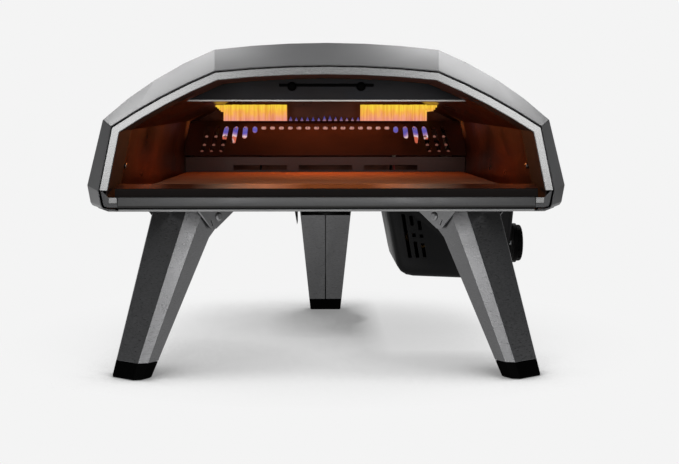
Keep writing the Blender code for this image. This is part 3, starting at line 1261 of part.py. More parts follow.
def make_valve(metal, brass, steel, black):
    """Valve body, the rotor that turns in it, the spindle and the knob."""
    axis = (KNOB_Y, KNOB_Z)
    low = (VALVE_LEFT_X, KNOB_Y - VALVE_HALF_DEPTH, KNOB_Z - VALVE_HALF_HEIGHT)
    high = (VALVE_RIGHT_X, KNOB_Y + VALVE_HALF_DEPTH, KNOB_Z + VALVE_HALF_HEIGHT)
    body = place("valve_body", box_mesh("valve_body", low, high), metal)
    soften(body, VALVE_ROUND, 2)
    bore = rod_mesh("valve_bore", ROTOR_RADIUS + ROTOR_GAP, (ROTOR_INNER_X - ROTOR_GAP, *axis),
                    (VALVE_RIGHT_X + OVERRUN, *axis), ROTOR_SIDES)
    carve(body, "valve_bore", bore)

    along_x = Matrix.Rotation(QUARTER, 4, "Y")
    profile = [(0, ROTOR_LENGTH), (ROTOR_RADIUS, ROTOR_LENGTH), (ROTOR_RADIUS, 0), (0, 0)]
    matrix = Matrix.Translation((ROTOR_INNER_X, *axis)) @ along_x
    rotor = turned("valve_rotor", profile, ROTOR_SIDES, brass, matrix)
    half = SPINDLE_HALF + SPINDLE_GAP
    socket = box_mesh("rotor_socket", (-half, -half, ROTOR_BEHIND_SPINDLE / 2),
                      (half, half, ROTOR_LENGTH + OVERRUN))
    carve(rotor, "rotor_socket", socket)

    half = SPINDLE_HALF
    spindle = box_mesh("knob_spindle", (-half, -half, 0), (half, half, SPINDLE_LENGTH))
    place("knob_spindle", spindle, steel, Matrix.Translation((SPINDLE_INNER_X, *axis)) @ along_x)

    length = KNOB_LENGTH
    grip = KNOB_GRIP_RADIUS
    profile = [(0, length), (grip - KNOB_ROUND, length), (grip - KNOB_ROUND / 4, length - KNOB_ROUND / 3),
               (grip, length - KNOB_ROUND), (grip, KNOB_SKIRT), (KNOB_RADIUS, KNOB_SKIRT - KNOB_ROUND / 3),
               (KNOB_RADIUS, 0), (0, 0)]
    matrix = Matrix.Translation((KNOB_INNER_X, *axis)) @ along_x
    knob = turned("control_knob", profile, KNOB_SIDES, black, matrix)
    flutes = []
    for index in range(FLUTE_COUNT):
        angle = math.tau * (index + 0.5) / FLUTE_COUNT
        x = (grip + FLUTE_RADIUS / 2) * math.cos(angle)
        y = (grip + FLUTE_RADIUS / 2) * math.sin(angle)
        low = (x, y, KNOB_SKIRT)
        flutes.append(rod_mesh("flute", FLUTE_RADIUS, low, (x, y, length + OVERRUN), FLUTE_SIDES))
    carve(knob, "knob_flutes", joined("knob_flutes", flutes))
    start = KNOB_ROUND - grip
    low = (start, -POINTER_WIDTH / 2, length - POINTER_DEPTH)
    high = (start + POINTER_LENGTH, POINTER_WIDTH / 2, length + OVERRUN)
    carve(knob, "knob_pointer", box_mesh("knob_pointer", low, high))
    half = SPINDLE_HALF + CLEAR
    bore = box_mesh("knob_bore", (-half, -half, -OVERRUN), (half, half, SPINDLE_IN_KNOB + CLEAR))
    carve(knob, "knob_bore", bore)


def make_gas_lines(brass, steel, white, red):
    """Inlet fitting, two pipes, igniter, its lead and the electrode."""
    rear = HOUSING_REAR_Y + CLEAR
    stub = HOUSING_WALL + CLEAR + INLET_INSIDE
    barrel = INLET_BARREL_RADIUS
    profile = [(0, INLET_LENGTH), (barrel, INLET_LENGTH), (barrel, INLET_NUT), (INLET_RADIUS, INLET_NUT),
               (INLET_RADIUS, 0), (barrel, 0), (barrel, -stub), (0, -stub)]
    matrix = Matrix.Translation((INLET_X, rear, INLET_Z)) @ Matrix.Rotation(-QUARTER, 4, "X")
    turned("gas_inlet", profile, HOLE_SIDES, brass, matrix)

    inlet_end = (INLET_X, rear - stub - CLEAR, INLET_Z)
    path = rounded_path([inlet_end, (INLET_X, KNOB_Y, INLET_Z), (INLET_X + PIPE_ROUND * 2, KNOB_Y, KNOB_Z),
                         (VALVE_LEFT_X - CLEAR, KNOB_Y, KNOB_Z)], PIPE_ROUND)
    place("inlet_pipe", tube_mesh("inlet_pipe", path, PIPE_RADIUS), brass)
    jet_foot = MIXER_FLOOR - JET_BELOW_MIXER - JET_HEIGHT - CLEAR
    outlet_x = (VALVE_LEFT_X + VALVE_RIGHT_X) / 2
    path = rounded_path([(outlet_x, KNOB_Y + VALVE_HALF_DEPTH + CLEAR, KNOB_Z),
                         (outlet_x, BURNER_Y - PIPE_ROUND, KNOB_Z), (MIXER_X, BURNER_Y, KNOB_Z),
                         (MIXER_X, BURNER_Y, jet_foot)], PIPE_ROUND)
    place("outlet_pipe", tube_mesh("outlet_pipe", path, PIPE_RADIUS), brass)

    piezo_floor = KNOB_Z + VALVE_HALF_HEIGHT + CLEAR
    profile = [(0, PIEZO_HEIGHT), (PIEZO_RADIUS * HEAD_FLAT_SHARE, PIEZO_HEIGHT),
               (PIEZO_RADIUS, PIEZO_HEIGHT * PIEZO_NECK_SHARE), (PIEZO_RADIUS, 0), (0, 0)]
    turned("piezo_igniter", profile, PIEZO_SIDES, white, Matrix.Translation((outlet_x, KNOB_Y, piezo_floor)))
    electrode_x = SADDLE_X + SADDLE_WALL + CLEAR + ELECTRODE_RADIUS
    rise_y = BURNER_Y - MIXER_RADIUS - LEAD_RADIUS - CLEAR * 3
    high_z = PAN_TOP + LEAD_ROUND * 2
    lead = [(outlet_x, KNOB_Y, piezo_floor + PIEZO_HEIGHT + CLEAR), (outlet_x, KNOB_Y, LEAD_Z),
            (outlet_x, rise_y - LEAD_RADIUS, LEAD_Z), (MIXER_X, rise_y, LEAD_Z), (MIXER_X, rise_y, high_z),
            (electrode_x, ELECTRODE_Y, high_z), (electrode_x, ELECTRODE_Y, ELECTRODE_FLOOR - CLEAR)]
    place("ignition_lead", tube_mesh("ignition_lead", rounded_path(lead, LEAD_ROUND), LEAD_RADIUS), red)
    tip = ELECTRODE_LENGTH + ELECTRODE_TIP_HEIGHT
    profile = [(0, tip), (ELECTRODE_TIP_RADIUS, tip), (ELECTRODE_TIP_RADIUS, ELECTRODE_LENGTH),
               (ELECTRODE_RADIUS, ELECTRODE_LENGTH), (ELECTRODE_RADIUS, 0), (0, 0)]
    turned("igniter_electrode", profile, RIVET_SIDES, white,
           Matrix.Translation((electrode_x, ELECTRODE_Y, ELECTRODE_FLOOR)))


def main():
    empty_scene()
    charcoal = finish("charcoal_coat", (0.13, 0.13, 0.14), 0.45, 0.6)
    silver = finish("silver_trim", (0.42, 0.42, 0.42), 0.4, 0.8)
    dark = finish("dark_coat", (0.06, 0.06, 0.065), 0.5, 0.5)
    brushed = finish("brushed_steel", (0.3, 0.3, 0.31), 0.4, 0.9)
    heated = finish("heated_steel", (0.12, 0.08, 0.06), 0.45, 0.8)
    wool = finish("ceramic_wool", (0.75, 0.73, 0.68), 0.95)
    clay = finish("cordierite", (0.45, 0.3, 0.2), 0.9)
    black = finish("black_plastic", (0.015, 0.015, 0.016), 0.5)
    rubber = finish("black_rubber", (0.01, 0.01, 0.01), 0.75)
    brass = finish("brass", (0.6, 0.42, 0.18), 0.35, 1.0)
    cast = finish("cast_aluminium", (0.5, 0.5, 0.5), 0.5, 0.9)
    ceramic = finish("white_ceramic", (0.8, 0.78, 0.74), 0.4)
    lead = finish("red_lead", (0.4, 0.03, 0.02), 0.6)
    make_shell(charcoal)
    make_front(silver, dark)
    make_pan(dark)
    make_liner(heated, wool)
    make_baffle(heated, dark)
    make_back_plate(heated)
    make_guard(heated)
    make_burner(brushed, brass)
    make_stone(clay, heated)
    make_back_panel(dark, brushed)
    make_legs(brushed, silver, rubber, black)
    make_housing(black)
    make_valve(cast, brass, brushed, black)
    make_gas_lines(brass, brushed, ceramic, lead)


main()
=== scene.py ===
"""Looks of the portable pizza oven: finishes, flames, floor, studio light and camera.

Lengths are in metres. A noise's scale is per metre, so a higher one gives a finer grain. Colours are
written as screen values from 0 to 255.
"""

import math
import random

import bpy
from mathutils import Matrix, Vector


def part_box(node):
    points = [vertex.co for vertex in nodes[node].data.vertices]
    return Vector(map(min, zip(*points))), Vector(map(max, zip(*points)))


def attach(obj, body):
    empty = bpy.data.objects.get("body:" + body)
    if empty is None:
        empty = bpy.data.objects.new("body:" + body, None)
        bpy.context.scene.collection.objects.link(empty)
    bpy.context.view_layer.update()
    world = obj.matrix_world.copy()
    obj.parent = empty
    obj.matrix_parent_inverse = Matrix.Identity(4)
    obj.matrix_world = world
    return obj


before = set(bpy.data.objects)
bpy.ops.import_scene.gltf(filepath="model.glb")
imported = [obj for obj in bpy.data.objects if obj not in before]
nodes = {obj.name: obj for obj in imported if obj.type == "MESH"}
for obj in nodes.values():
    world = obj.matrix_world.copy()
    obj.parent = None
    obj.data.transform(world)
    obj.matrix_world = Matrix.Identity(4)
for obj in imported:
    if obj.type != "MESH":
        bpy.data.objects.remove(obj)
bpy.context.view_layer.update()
rng = random.Random(7)

# The camera, as fitted to the picture.
PHOTO_WIDTH = 679
FOCAL_PIXELS = 1134.0
SENSOR_WIDTH = 36
NEAREST_SEEN = 0.01
CAMERA_PLACE = (-0.0066, -1.505, 0.278)
CAMERA_PITCH = math.radians(-5.419)
CAMERA_YAW = math.radians(-0.943)

X, Y, Z = range(3)
USUAL = (0.3, 0.7)      # the range that most of a noise's values lie in
COAT_ROUNDING = 0.0008  # the radius that a sprayed or moulded edge looks rounded to
SHEET_ROUNDING = 0.0006
EDGE_LEAN = 0.9         # the cosine between a rounded normal and the face's at which an edge counts in full
GRAIN_DEPTH = 0.0002
STROKE_DEPTH = 0.0003
STONE_DEPTH = 0.0004
STRAND_DEPTH = 0.001
SWELL_DEPTH = 0.002     # for broad stains and clumps
FAR = 9.0               # past the part on any side
CRISP = 0.00005         # the width of a hard edge between two colours

# Shading of the CAD's facets.
SHEET_ANGLE = math.radians(14)
ROUND_ANGLE = math.radians(32)
WELD_DISTANCE = 0.00002
SHEETS = ("outer_shell", "inner_liner", "insulation_blanket", "front_trim")


def linear(value):
    """A 0 to 255 screen value as linear light."""
    value /= 255
    return value / 12.92 if value <= 0.04045 else ((value + 0.055) / 1.055) ** 2.4


def rgb(red, green, blue):
    """A colour in screen values, as linear light with full alpha."""
    return (linear(red), linear(green), linear(blue), 1.0)


def tone(colour, factor):
    """The colour made lighter or darker by a factor."""
    return (*[min(channel * factor, 1.0) for channel in colour[:3]], 1.0)


class Finish:
    """A material and the few node moves that all finishes here share."""

    def __init__(self, name):
        self.material = bpy.data.materials.new(name)
        self.material.use_nodes = True
        self.tree = self.material.node_tree
        self.shader = self.tree.nodes["Principled BSDF"]
        self.output = self.tree.nodes["Material Output"]
        self.place = self.node("ShaderNodeTexCoord").outputs["Object"]

    def node(self, kind, **settings):
        made = self.tree.nodes.new(kind)
        for key, value in settings.items():
            setattr(made, key, value)
        return made

    def link(self, source, target):
        self.tree.links.new(source, target)

    def fill(self, socket, value):
        """Links a socket's value, or sets a number or colour."""
        if isinstance(value, bpy.types.NodeSocket):
            self.link(value, socket)
        else:
            socket.default_value = value

    def scaled(self, scale):
        mapping = self.node("ShaderNodeMapping")
        self.link(self.place, mapping.inputs["Vector"])
        mapping.inputs["Scale"].default_value = scale
        return mapping.outputs["Vector"]

    def noise(self, scale, detail=4.0, roughness=0.6, distortion=0.0):
        """Noise at a scale per metre, one number or three."""
        scale = (scale, scale, scale) if isinstance(scale, (int, float)) else scale
        made = self.node("ShaderNodeTexNoise")
        self.link(self.scaled(scale), made.inputs["Vector"])
        for key, value in (("Scale", 1.0), ("Detail", detail), ("Roughness", roughness), ("Distortion", distortion)):
            made.inputs[key].default_value = value
        return made.outputs["Fac"]

    def cells(self, scale):
        """Distance to the middle of the nearest cell, for pores and moulded grain."""
        made = self.node("ShaderNodeTexVoronoi")
        self.link(self.scaled((scale, scale, scale)), made.inputs["Vector"])
        made.inputs["Scale"].default_value = 1.0
        return made.outputs["Distance"]

    def spread(self, value, low, high, out_low=0.0, out_high=1.0):
        """The range low to high of a value, stretched to another range and clipped to it."""
        made = self.node("ShaderNodeMapRange")
        self.link(value, made.inputs["Value"])
        for key, number in (("From Min", low), ("From Max", high), ("To Min", out_low), ("To Max", out_high)):
            made.inputs[key].default_value = number
        return made.outputs["Result"]

    def ramp(self, value, stops):
        made = self.node("ShaderNodeValToRGB")
        self.link(value, made.inputs["Fac"])
        band = made.color_ramp
        while len(band.elements) < len(stops):
            band.elements.new(0.5)
        for element, (position, colour) in zip(band.elements, stops):
            element.position = position
            element.color = colour
        return made.outputs["Color"]

    def mix(self, factor, first, second, blend="MIX"):
        made = self.node("ShaderNodeMix", data_type="RGBA", blend_type=blend)
        for key, value in (("Factor", factor), ("A", first), ("B", second)):
            self.fill([item for item in made.inputs if item.name == key and item.enabled][0], value)
        return [item for item in made.outputs if item.enabled][0]

    def overlay(self, under, over, mask, low, high, most):
        """One colour over another, by a share that rises from 0 to most as the mask goes from low to high."""
        return self.mix(self.spread(mask, low, high, 0.0, most), under, over)

    def on_edges(self, under, over, edge, most):
        """One colour over another along the sharp edges, by a share of most."""
        return self.mix(self.math("MULTIPLY", edge, most), under, over)

    def math(self, operation, first, second=0.5):
        made = self.node("ShaderNodeMath", operation=operation)
        for index, value in enumerate((first, second)):
            self.fill(made.inputs[index], value)
        return made.outputs["Value"]

    def highest(self, first, *others):
        for other in others:
            first = self.math("MAXIMUM", first, other)
        return first

    def axis(self, index):
        made = self.node("ShaderNodeSeparateXYZ")
        self.link(self.place, made.inputs["Vector"])
        return made.outputs[index]

    def distance(self, point):
        """How far a place on the surface is from a point."""
        made = self.node("ShaderNodeVectorMath", operation="DISTANCE")
        self.link(self.place, made.inputs[0])
        made.inputs[1].default_value = point
        return made.outputs["Value"]

    def bump(self, height, strength, distance, under=None):
        made = self.node("ShaderNodeBump")
        made.inputs["Strength"].default_value = strength
        made.inputs["Distance"].default_value = distance
        self.link(height, made.inputs["Height"])
        if under is not None:
            self.link(under, made.inputs["Normal"])
        return made.outputs["Normal"]

    def edges(self, radius):
        """Softly rounded normals, and a mask that rises to 1 where they lean far off the face."""
        rounded = self.node("ShaderNodeBevel", samples=4)
        rounded.inputs["Radius"].default_value = radius
        flat = self.node("ShaderNodeNewGeometry").outputs["Normal"]
        dot = self.node("ShaderNodeVectorMath", operation="DOT_PRODUCT")
        self.link(rounded.outputs["Normal"], dot.inputs[0])
        self.link(flat, dot.inputs[1])
        return rounded.outputs["Normal"], self.spread(dot.outputs["Value"], EDGE_LEAN, 1.0, 1.0, 0.0)

    def set(self, **values):
        """Numbers, colours or sockets on the shader, by a socket's name with underscores."""
        for key, value in values.items():
            self.fill(self.shader.inputs[key.replace("_", " ")], value)


def coat(name, colour, roughness, metallic, grain=900, mottling=0.06, orange_peel=0.04, specular=0.5):
    """Sprayed satin coat: fine grain, slight mottling, rubbed a little lighter along its edges."""
    made = Finish(name)
    rounded, edge = made.edges(COAT_ROUNDING)
    broad = made.noise(9, detail=3)
    fine = made.noise(grain, detail=5, roughness=0.7)
    colour_now = made.mix(made.spread(broad, *USUAL), tone(colour, 1 - mottling), tone(colour, 1 + mottling))
    colour_now = made.overlay(colour_now, tone(colour, 1.25), fine, low=0.35, high=0.65, most=0.25)
    rubbed = made.spread(made.noise(120), 0.4, 0.7, out_low=0.1, out_high=0.7)
    colour_now = made.on_edges(colour_now, tone(colour, 2.2), edge, rubbed)
    rough = made.spread(broad, 0.25, 0.75, out_low=roughness - 0.04, out_high=roughness + 0.05)
    normal = made.bump(fine, orange_peel, GRAIN_DEPTH, rounded)
    made.set(Base_Color=colour_now, Metallic=metallic, Roughness=rough, Normal=normal)
    made.set(Specular_IOR_Level=specular)
    return made.material


def brushed(name, colour, roughness, along, metallic=1.0, strength=0.12, wear=0.12, stretch=0.0):
    """Brushed metal. along is the noise's scale on each axis, which is low along the strokes.

    wear is how far the strokes differ in tone and roughness. stretch spreads the highlight across
    strokes that run level round the part.
    """
    made = Finish(name)
    rounded, edge = made.edges(SHEET_ROUNDING)
    stroke = made.noise(along, detail=6, roughness=0.75)
    broad = made.noise(14, detail=3)
    colour_now = made.mix(made.spread(stroke, *USUAL), tone(colour, 1 - wear), tone(colour, 1 + wear))
    colour_now = made.overlay(colour_now, tone(colour, 0.85), broad, low=0.3, high=0.8, most=0.3)
    colour_now = made.on_edges(colour_now, tone(colour, 1.5), edge, most=0.5)
    rough = made.spread(stroke, *USUAL, out_low=roughness - 0.6 * wear, out_high=roughness + 0.7 * wear)
    normal = made.bump(stroke, strength, STROKE_DEPTH, rounded)
    made.set(Base_Color=colour_now, Metallic=metallic, Roughness=rough, Normal=normal)
    if stretch:
        level = made.node("ShaderNodeTangent", direction_type="RADIAL", axis="Z")
        made.set(Tangent=level.outputs["Tangent"], Anisotropic=stretch, Anisotropic_Rotation=0.25)
    return made.material


def patch(colour, roughness=None, soft=CRISP, **limits):
    """A part of a sheet with a colour of its own, or with painted light or shade, for heated.

    limits are x, y or z, each as (low, high). A roughness of None is the sheet's own. soft is the
    width of the patch's edge.
    """
    return colour, [("xyz".index(axis), *span) for axis, span in limits.items()], roughness, soft


def heated(name, cool, hot, roughness, metallic, patches=(), relief=0.12):
    """Steel sheet tinted by heat: brown and straw stains over a fine grain, and patches on top, some of which are
    painted light or shade.
    """
    made = Finish(name)
    rounded, edge = made.edges(SHEET_ROUNDING)
    stain = made.noise(11, detail=5, distortion=0.8)
    grain = made.noise((40, 40, 260), detail=6, roughness=0.7)
    fleck = made.noise(420, detail=3)
    colour_now = made.mix(made.spread(stain, 0.35, 0.68), cool, hot)
    colour_now = made.overlay(colour_now, tone(hot, 1.3), grain, low=0.3, high=0.75, most=0.35)
    colour_now = made.overlay(colour_now, tone(cool, 0.5), fleck, low=0.6, high=0.75, most=0.4)
    colour_now = made.on_edges(colour_now, tone(hot, 1.8), edge, most=0.4)
    rough = made.spread(stain, *USUAL, out_low=roughness - 0.08, out_high=roughness + 0.1)
    for colour, limits, rough_there, soft in patches:
        inside = 1.0
        for axis, low, high in limits:
            inside = made.math("MULTIPLY", inside, made.spread(made.axis(axis), low - soft, low + soft))
            inside = made.math("MULTIPLY", inside, made.spread(made.axis(axis), high - soft, high + soft, 1.0, 0.0))
        mottled = made.mix(made.spread(grain, *USUAL), tone(colour, 0.85), tone(colour, 1.12))
        colour_now = made.mix(inside, colour_now, mottled)
        if rough_there is not None:
            kept = made.math("MULTIPLY", rough, made.math("SUBTRACT", 1.0, inside))
            rough = made.math("ADD", kept, made.math("MULTIPLY", inside, rough_there))
    swell = made.bump(stain, relief * 0.4, SWELL_DEPTH, rounded)
    normal = made.bump(grain, relief, STROKE_DEPTH, swell)
    made.set(Base_Color=colour_now, Metallic=metallic, Roughness=rough, Normal=normal)
    return made.material


def moulded(name, colour, roughness, grain=1100, depth=0.22, specular=0.5):
    """Black plastic or rubber with a fine leather-like grain."""
    made = Finish(name)
    rounded, edge = made.edges(COAT_ROUNDING)
    fine = made.cells(grain)
    broad = made.noise(24)
    colour_now = made.mix(made.spread(broad, *USUAL), tone(colour, 0.8), tone(colour, 1.3))
    rough = made.spread(broad, *USUAL, out_low=roughness - 0.05, out_high=roughness + 0.07)
    colour_now = made.on_edges(colour_now, tone(colour, 2.5), edge, most=0.6)
    normal = made.bump(fine, depth, GRAIN_DEPTH, rounded)
    made.set(Base_Color=colour_now, Roughness=rough, Normal=normal, Specular_IOR_Level=specular)
    return made.material


def cordierite(name):
    """Fired stone: sandy speckle, tiny pores and darker baked patches, in colours pushed orange past the stone's own
    beige as painted firelight.
    """
    made = Finish(name)
    baked = made.noise(9, detail=5, distortion=0.4)
    speckle = made.noise(520, roughness=0.7)
    pore = made.cells(340)
    # The stone's colours are pushed orange past its own beige: painted firelight.
    base = made.mix(made.spread(baked, 0.35, 0.7), rgb(162, 98, 64), rgb(128, 72, 46))
    base = made.overlay(base, rgb(182, 132, 96), speckle, low=0.35, high=0.7, most=0.35)
    base = made.mix(made.spread(pore, 0.0, 0.12, out_low=0.6, out_high=0.0), base, rgb(70, 44, 30))
    pitted = made.bump(pore, strength=0.2, distance=STONE_DEPTH)
    normal = made.bump(speckle, strength=0.25, distance=STONE_DEPTH, under=pitted)
    rough = made.spread(speckle, *USUAL, out_low=0.82, out_high=0.95)
    made.set(Base_Color=base, Roughness=rough, Normal=normal)
    return made.material


def fibre(name):
    """Ceramic wool: pale clumped strands."""
    made = Finish(name)
    strand = made.noise((700, 700, 260), detail=6, roughness=0.7, distortion=1.2)
    clump = made.noise(60)
    base = made.mix(made.spread(clump, *USUAL), rgb(226, 222, 212), rgb(204, 198, 184))
    base = made.overlay(base, rgb(240, 238, 232), strand, low=0.3, high=0.8, most=0.4)
    clumped = made.bump(clump, strength=0.4, distance=SWELL_DEPTH)
    normal = made.bump(strand, strength=0.5, distance=STRAND_DEPTH, under=clumped)
    made.set(Base_Color=base, Roughness=0.95, Normal=normal)
    return made.material


baffle_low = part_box("baffle_plate")[0]
threshold_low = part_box("threshold_plate")[0]
pan_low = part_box("base_pan")[0]
rail_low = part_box("front_rail")[0]
rivet_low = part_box("liner_rivet_left")[0]

BARE = rgb(176, 172, 168)
# A near black for painted shade on the threshold plate's front face.
PAINTED_SHADE_BLACK = rgb(20, 13, 10)
# Painted shade along the bottom of the front rail: dark up to this height, and near black at its lowest edge.
RAIL_PAINTED_SHADE_TOP = rail_low.z + 0.0024
RAIL_PAINTED_BLACK_SHADE_TOP = rail_low.z + 0.0006
BAFFLE_BARE_EDGE = baffle_low.z + 0.0017
THRESHOLD_FRONT = threshold_low.y + 0.0013
# The base pan's front strip is near black, and its lowest edge, the hem, carries a painted highlight.
HEM_FRONT = pan_low.y + 0.0022
HEM_PAINTED_HIGHLIGHT_TOP = pan_low.z + 0.0021
LINER_FRONT = rivet_low.y - 0.001
LINER_CEILING = 0.31

charcoal = coat("look_charcoal_coat", rgb(90, 90, 91), roughness=0.38, metallic=0.55, orange_peel=0.05,
                specular=0.25)
dark_coat = coat("look_dark_coat", rgb(66, 66, 67), roughness=0.42, metallic=0.5, specular=0.25)
# The front rail, with painted shade along its bottom.
rail_coat = heated("look_rail_coat", rgb(70, 70, 71), rgb(76, 76, 76), roughness=0.42, metallic=0.5,
                   patches=(patch(rgb(46, 45, 44), z=(-FAR, RAIL_PAINTED_SHADE_TOP)),
                            patch(rgb(8, 8, 8), z=(-FAR, RAIL_PAINTED_BLACK_SHADE_TOP))))
dark_plate = coat("look_dark_plate", rgb(48, 48, 49), roughness=0.5, metallic=0.5)
trim_steel = brushed("look_trim_steel", rgb(118, 118, 118), roughness=0.27, along=(40, 2600, 2600),
                     metallic=0.97, strength=0.012, wear=0.03)
cap_steel = brushed("look_cap_steel", rgb(106, 106, 106), roughness=0.3, along=(60, 900, 900), metallic=0.9)
leg_steel = brushed("look_leg_steel", rgb(130, 130, 131), roughness=0.36, along=(240, 240, 1100),
                    metallic=0.97, strength=0.12, wear=0.24, stretch=0.75)
bracket_steel = brushed("look_bracket_steel", rgb(150, 150, 151), roughness=0.36, along=(320, 320, 320),
                        metallic=0.95, strength=0.06)
bright_steel = brushed("look_bright_steel", rgb(196, 197, 198), roughness=0.3, along=(600, 600, 600))
liner_steel = heated("look_liner_steel", rgb(66, 37, 27), rgb(90, 46, 30), roughness=0.34, metallic=0.8, patches=(
    # The cooler front of the walls, the ceiling over the baffle, and painted shade, dark, in the corner by the
    # guard.
    patch(rgb(54, 44, 41), roughness=0.7, soft=0.002, y=(-FAR, LINER_FRONT)),
    patch(rgb(80, 50, 42), roughness=0.95, soft=0.004, y=(-FAR, -0.05), z=(LINER_CEILING, FAR)),
    patch(rgb(20, 10, 8), roughness=0.6, soft=0.022, y=(0.06, 0.19), z=(0.225, 0.262)),
    # A painted reflection of the fire: the bright streak beside it; and painted firelight: the reddish lower wall by
    # the stone.
    patch(rgb(252, 206, 168), roughness=0.45, soft=0.009, y=(0.1, 0.128), z=(0.266, 0.287)),
    patch(rgb(172, 84, 52), soft=0.04, y=(-0.2, -0.06), z=(0.2, 0.226))))
baffle_steel = heated("look_baffle_steel", rgb(20, 21, 24), rgb(28, 25, 25), roughness=0.4, metallic=0.8,
                      patches=(patch(BARE, z=(-FAR, BAFFLE_BARE_EDGE)),))
guard_steel = heated("look_guard_steel", rgb(52, 27, 18), rgb(68, 34, 22), roughness=0.42, metallic=0.5)
threshold_steel = heated("look_threshold_steel", rgb(98, 54, 38), rgb(108, 58, 40), roughness=0.34, metallic=0.6,
                         relief=0.02, patches=(
                             # Painted reflections of the fires: bright bands in front of each tall fire and a dim
                             # one at the left end; and painted shade, near black, on the front face.
                             patch(rgb(250, 206, 176), roughness=0.3, soft=0.022, x=(-0.125, -0.045)),
                             patch(rgb(244, 200, 172), roughness=0.3, soft=0.022, x=(0.065, 0.13)),
                             patch(rgb(190, 140, 122), roughness=0.3, soft=0.014, x=(-0.195, -0.185)),
                             patch(PAINTED_SHADE_BLACK, roughness=0.8, y=(-FAR, THRESHOLD_FRONT))))
burner_steel = heated("look_burner_steel", rgb(120, 112, 108), rgb(140, 110, 86), roughness=0.4, metallic=0.85)
# The base pan: a near black front strip, with a painted highlight on its hem.
pan_coat = heated("look_pan_coat", rgb(50, 50, 51), rgb(58, 57, 56), roughness=0.45, metallic=0.5,
                  patches=(patch(rgb(20, 20, 20), y=(-FAR, HEM_FRONT)),
                           patch(rgb(128, 128, 128), y=(-FAR, HEM_FRONT), z=(-FAR, HEM_PAINTED_HIGHLIGHT_TOP))))
stone_clay = cordierite("look_cordierite")
wool = fibre("look_ceramic_wool")
black_plastic = moulded("look_black_plastic", rgb(14, 14, 15), roughness=0.42, specular=0.16)
knob_plastic = moulded("look_knob_plastic", rgb(3, 3, 3), roughness=0.5, grain=1400, depth=0.12, specular=0.03)
black_rubber = moulded("look_black_rubber", rgb(3, 3, 3), roughness=0.6, grain=800, depth=0.3, specular=0.02)
black_steel = coat("look_black_steel", rgb(3, 3, 3), roughness=0.6, metallic=0.0, specular=0.03)
brass = brushed("look_brass", rgb(150, 116, 66), roughness=0.3, along=(500, 500, 500))
cast = coat("look_cast_aluminium", rgb(168, 168, 166), roughness=0.5, metallic=0.9, grain=500, mottling=0.1,
            orange_peel=0.25)
ceramic = coat("look_white_ceramic", rgb(232, 228, 218), roughness=0.25, metallic=0.0, grain=300,
               mottling=0.03, orange_peel=0.02)
lead_sleeve = coat("look_red_lead", rgb(150, 34, 26), roughness=0.55, metallic=0.0, mottling=0.12, orange_peel=0.1)

# The finish of each node, by its name or by what its name starts with.
FINISHES = {
    "outer_shell": charcoal, "front_trim": trim_steel, "rail_cap_": cap_steel, "leg_bracket_": bracket_steel,
    "front_rail": rail_coat, "corner_plate_": dark_coat, "base_pan": pan_coat, "back_panel": dark_plate,
    "baffle_hanger": black_steel, "hanger_stud_": black_steel, "inner_liner": liner_steel,
    "inner_back_wall": liner_steel, "baffle_plate": baffle_steel, "lower_back_plate": guard_steel,
    "burner_guard": guard_steel, "stone_rail_": liner_steel, "threshold_plate": threshold_steel,
    "liner_rivet_": bright_steel, "insulation_": wool, "baking_stone": stone_clay, "burner_tube": burner_steel,
    "burner_saddle_": black_steel, "mixing_tube": burner_steel, "knob_spindle": bright_steel,
    "leg_catch_": black_plastic, "leg_left": leg_steel, "leg_right": leg_steel, "leg_rear": leg_steel,
    "pivot_pin_": bracket_steel, "back_screw_": bright_steel, "gas_jet": brass, "gas_inlet": brass,
    "inlet_pipe": brass, "outlet_pipe": brass, "valve_rotor": brass, "valve_body": cast,
    "burner_housing": black_plastic, "control_knob": knob_plastic, "foot_": black_rubber,
    "piezo_igniter": ceramic, "igniter_electrode": ceramic, "ignition_lead": lead_sleeve}

for name, thing in nodes.items():
    match = max((key for key in FINISHES if name.startswith(key)), key=len)
    for slot in thing.material_slots:
        slot.material = FINISHES[match]


def smooth_shading(limit):
    """Modifier nodes that weld the facets and shade them smooth, up to an edge's angle."""
    tree = bpy.data.node_groups.new(f"smooth_to_{math.degrees(limit):.0f}", "GeometryNodeTree")
    for way in ("INPUT", "OUTPUT"):
        tree.interface.new_socket("Geometry", in_out=way, socket_type="NodeSocketGeometry")
    angle = tree.nodes.new("GeometryNodeInputMeshEdgeAngle")
    sharp = tree.nodes.new("FunctionNodeCompare")
    sharp.operation = "GREATER_THAN"
    sharp.inputs["B"].default_value = limit
    tree.links.new(angle.outputs["Unsigned Angle"], sharp.inputs["A"])
    weld = tree.nodes.new("GeometryNodeMergeByDistance")
    weld.inputs["Distance"].default_value = WELD_DISTANCE
    plain = tree.nodes.new("GeometryNodeRemoveAttribute")
    plain.inputs["Name"].default_value = "custom_normal"
    faces = tree.nodes.new("GeometryNodeSetShadeSmooth")
    edges = tree.nodes.new("GeometryNodeSetShadeSmooth")
    edges.domain = "EDGE"
    edges.inputs["Shade Smooth"].default_value = False
    tree.links.new(sharp.outputs["Result"], edges.inputs["Selection"])
    last = tree.nodes.new("NodeGroupInput")
    for step in (weld, plain, faces, edges, tree.nodes.new("NodeGroupOutput")):
        tree.links.new(last.outputs[0], step.inputs[0])
        last = step
    return tree


fine_smooth = smooth_shading(SHEET_ANGLE)
round_smooth = smooth_shading(ROUND_ANGLE)
for name, thing in nodes.items():
    thing.modifiers.new("smooth shading", "NODES").node_group = fine_smooth if name in SHEETS else round_smooth

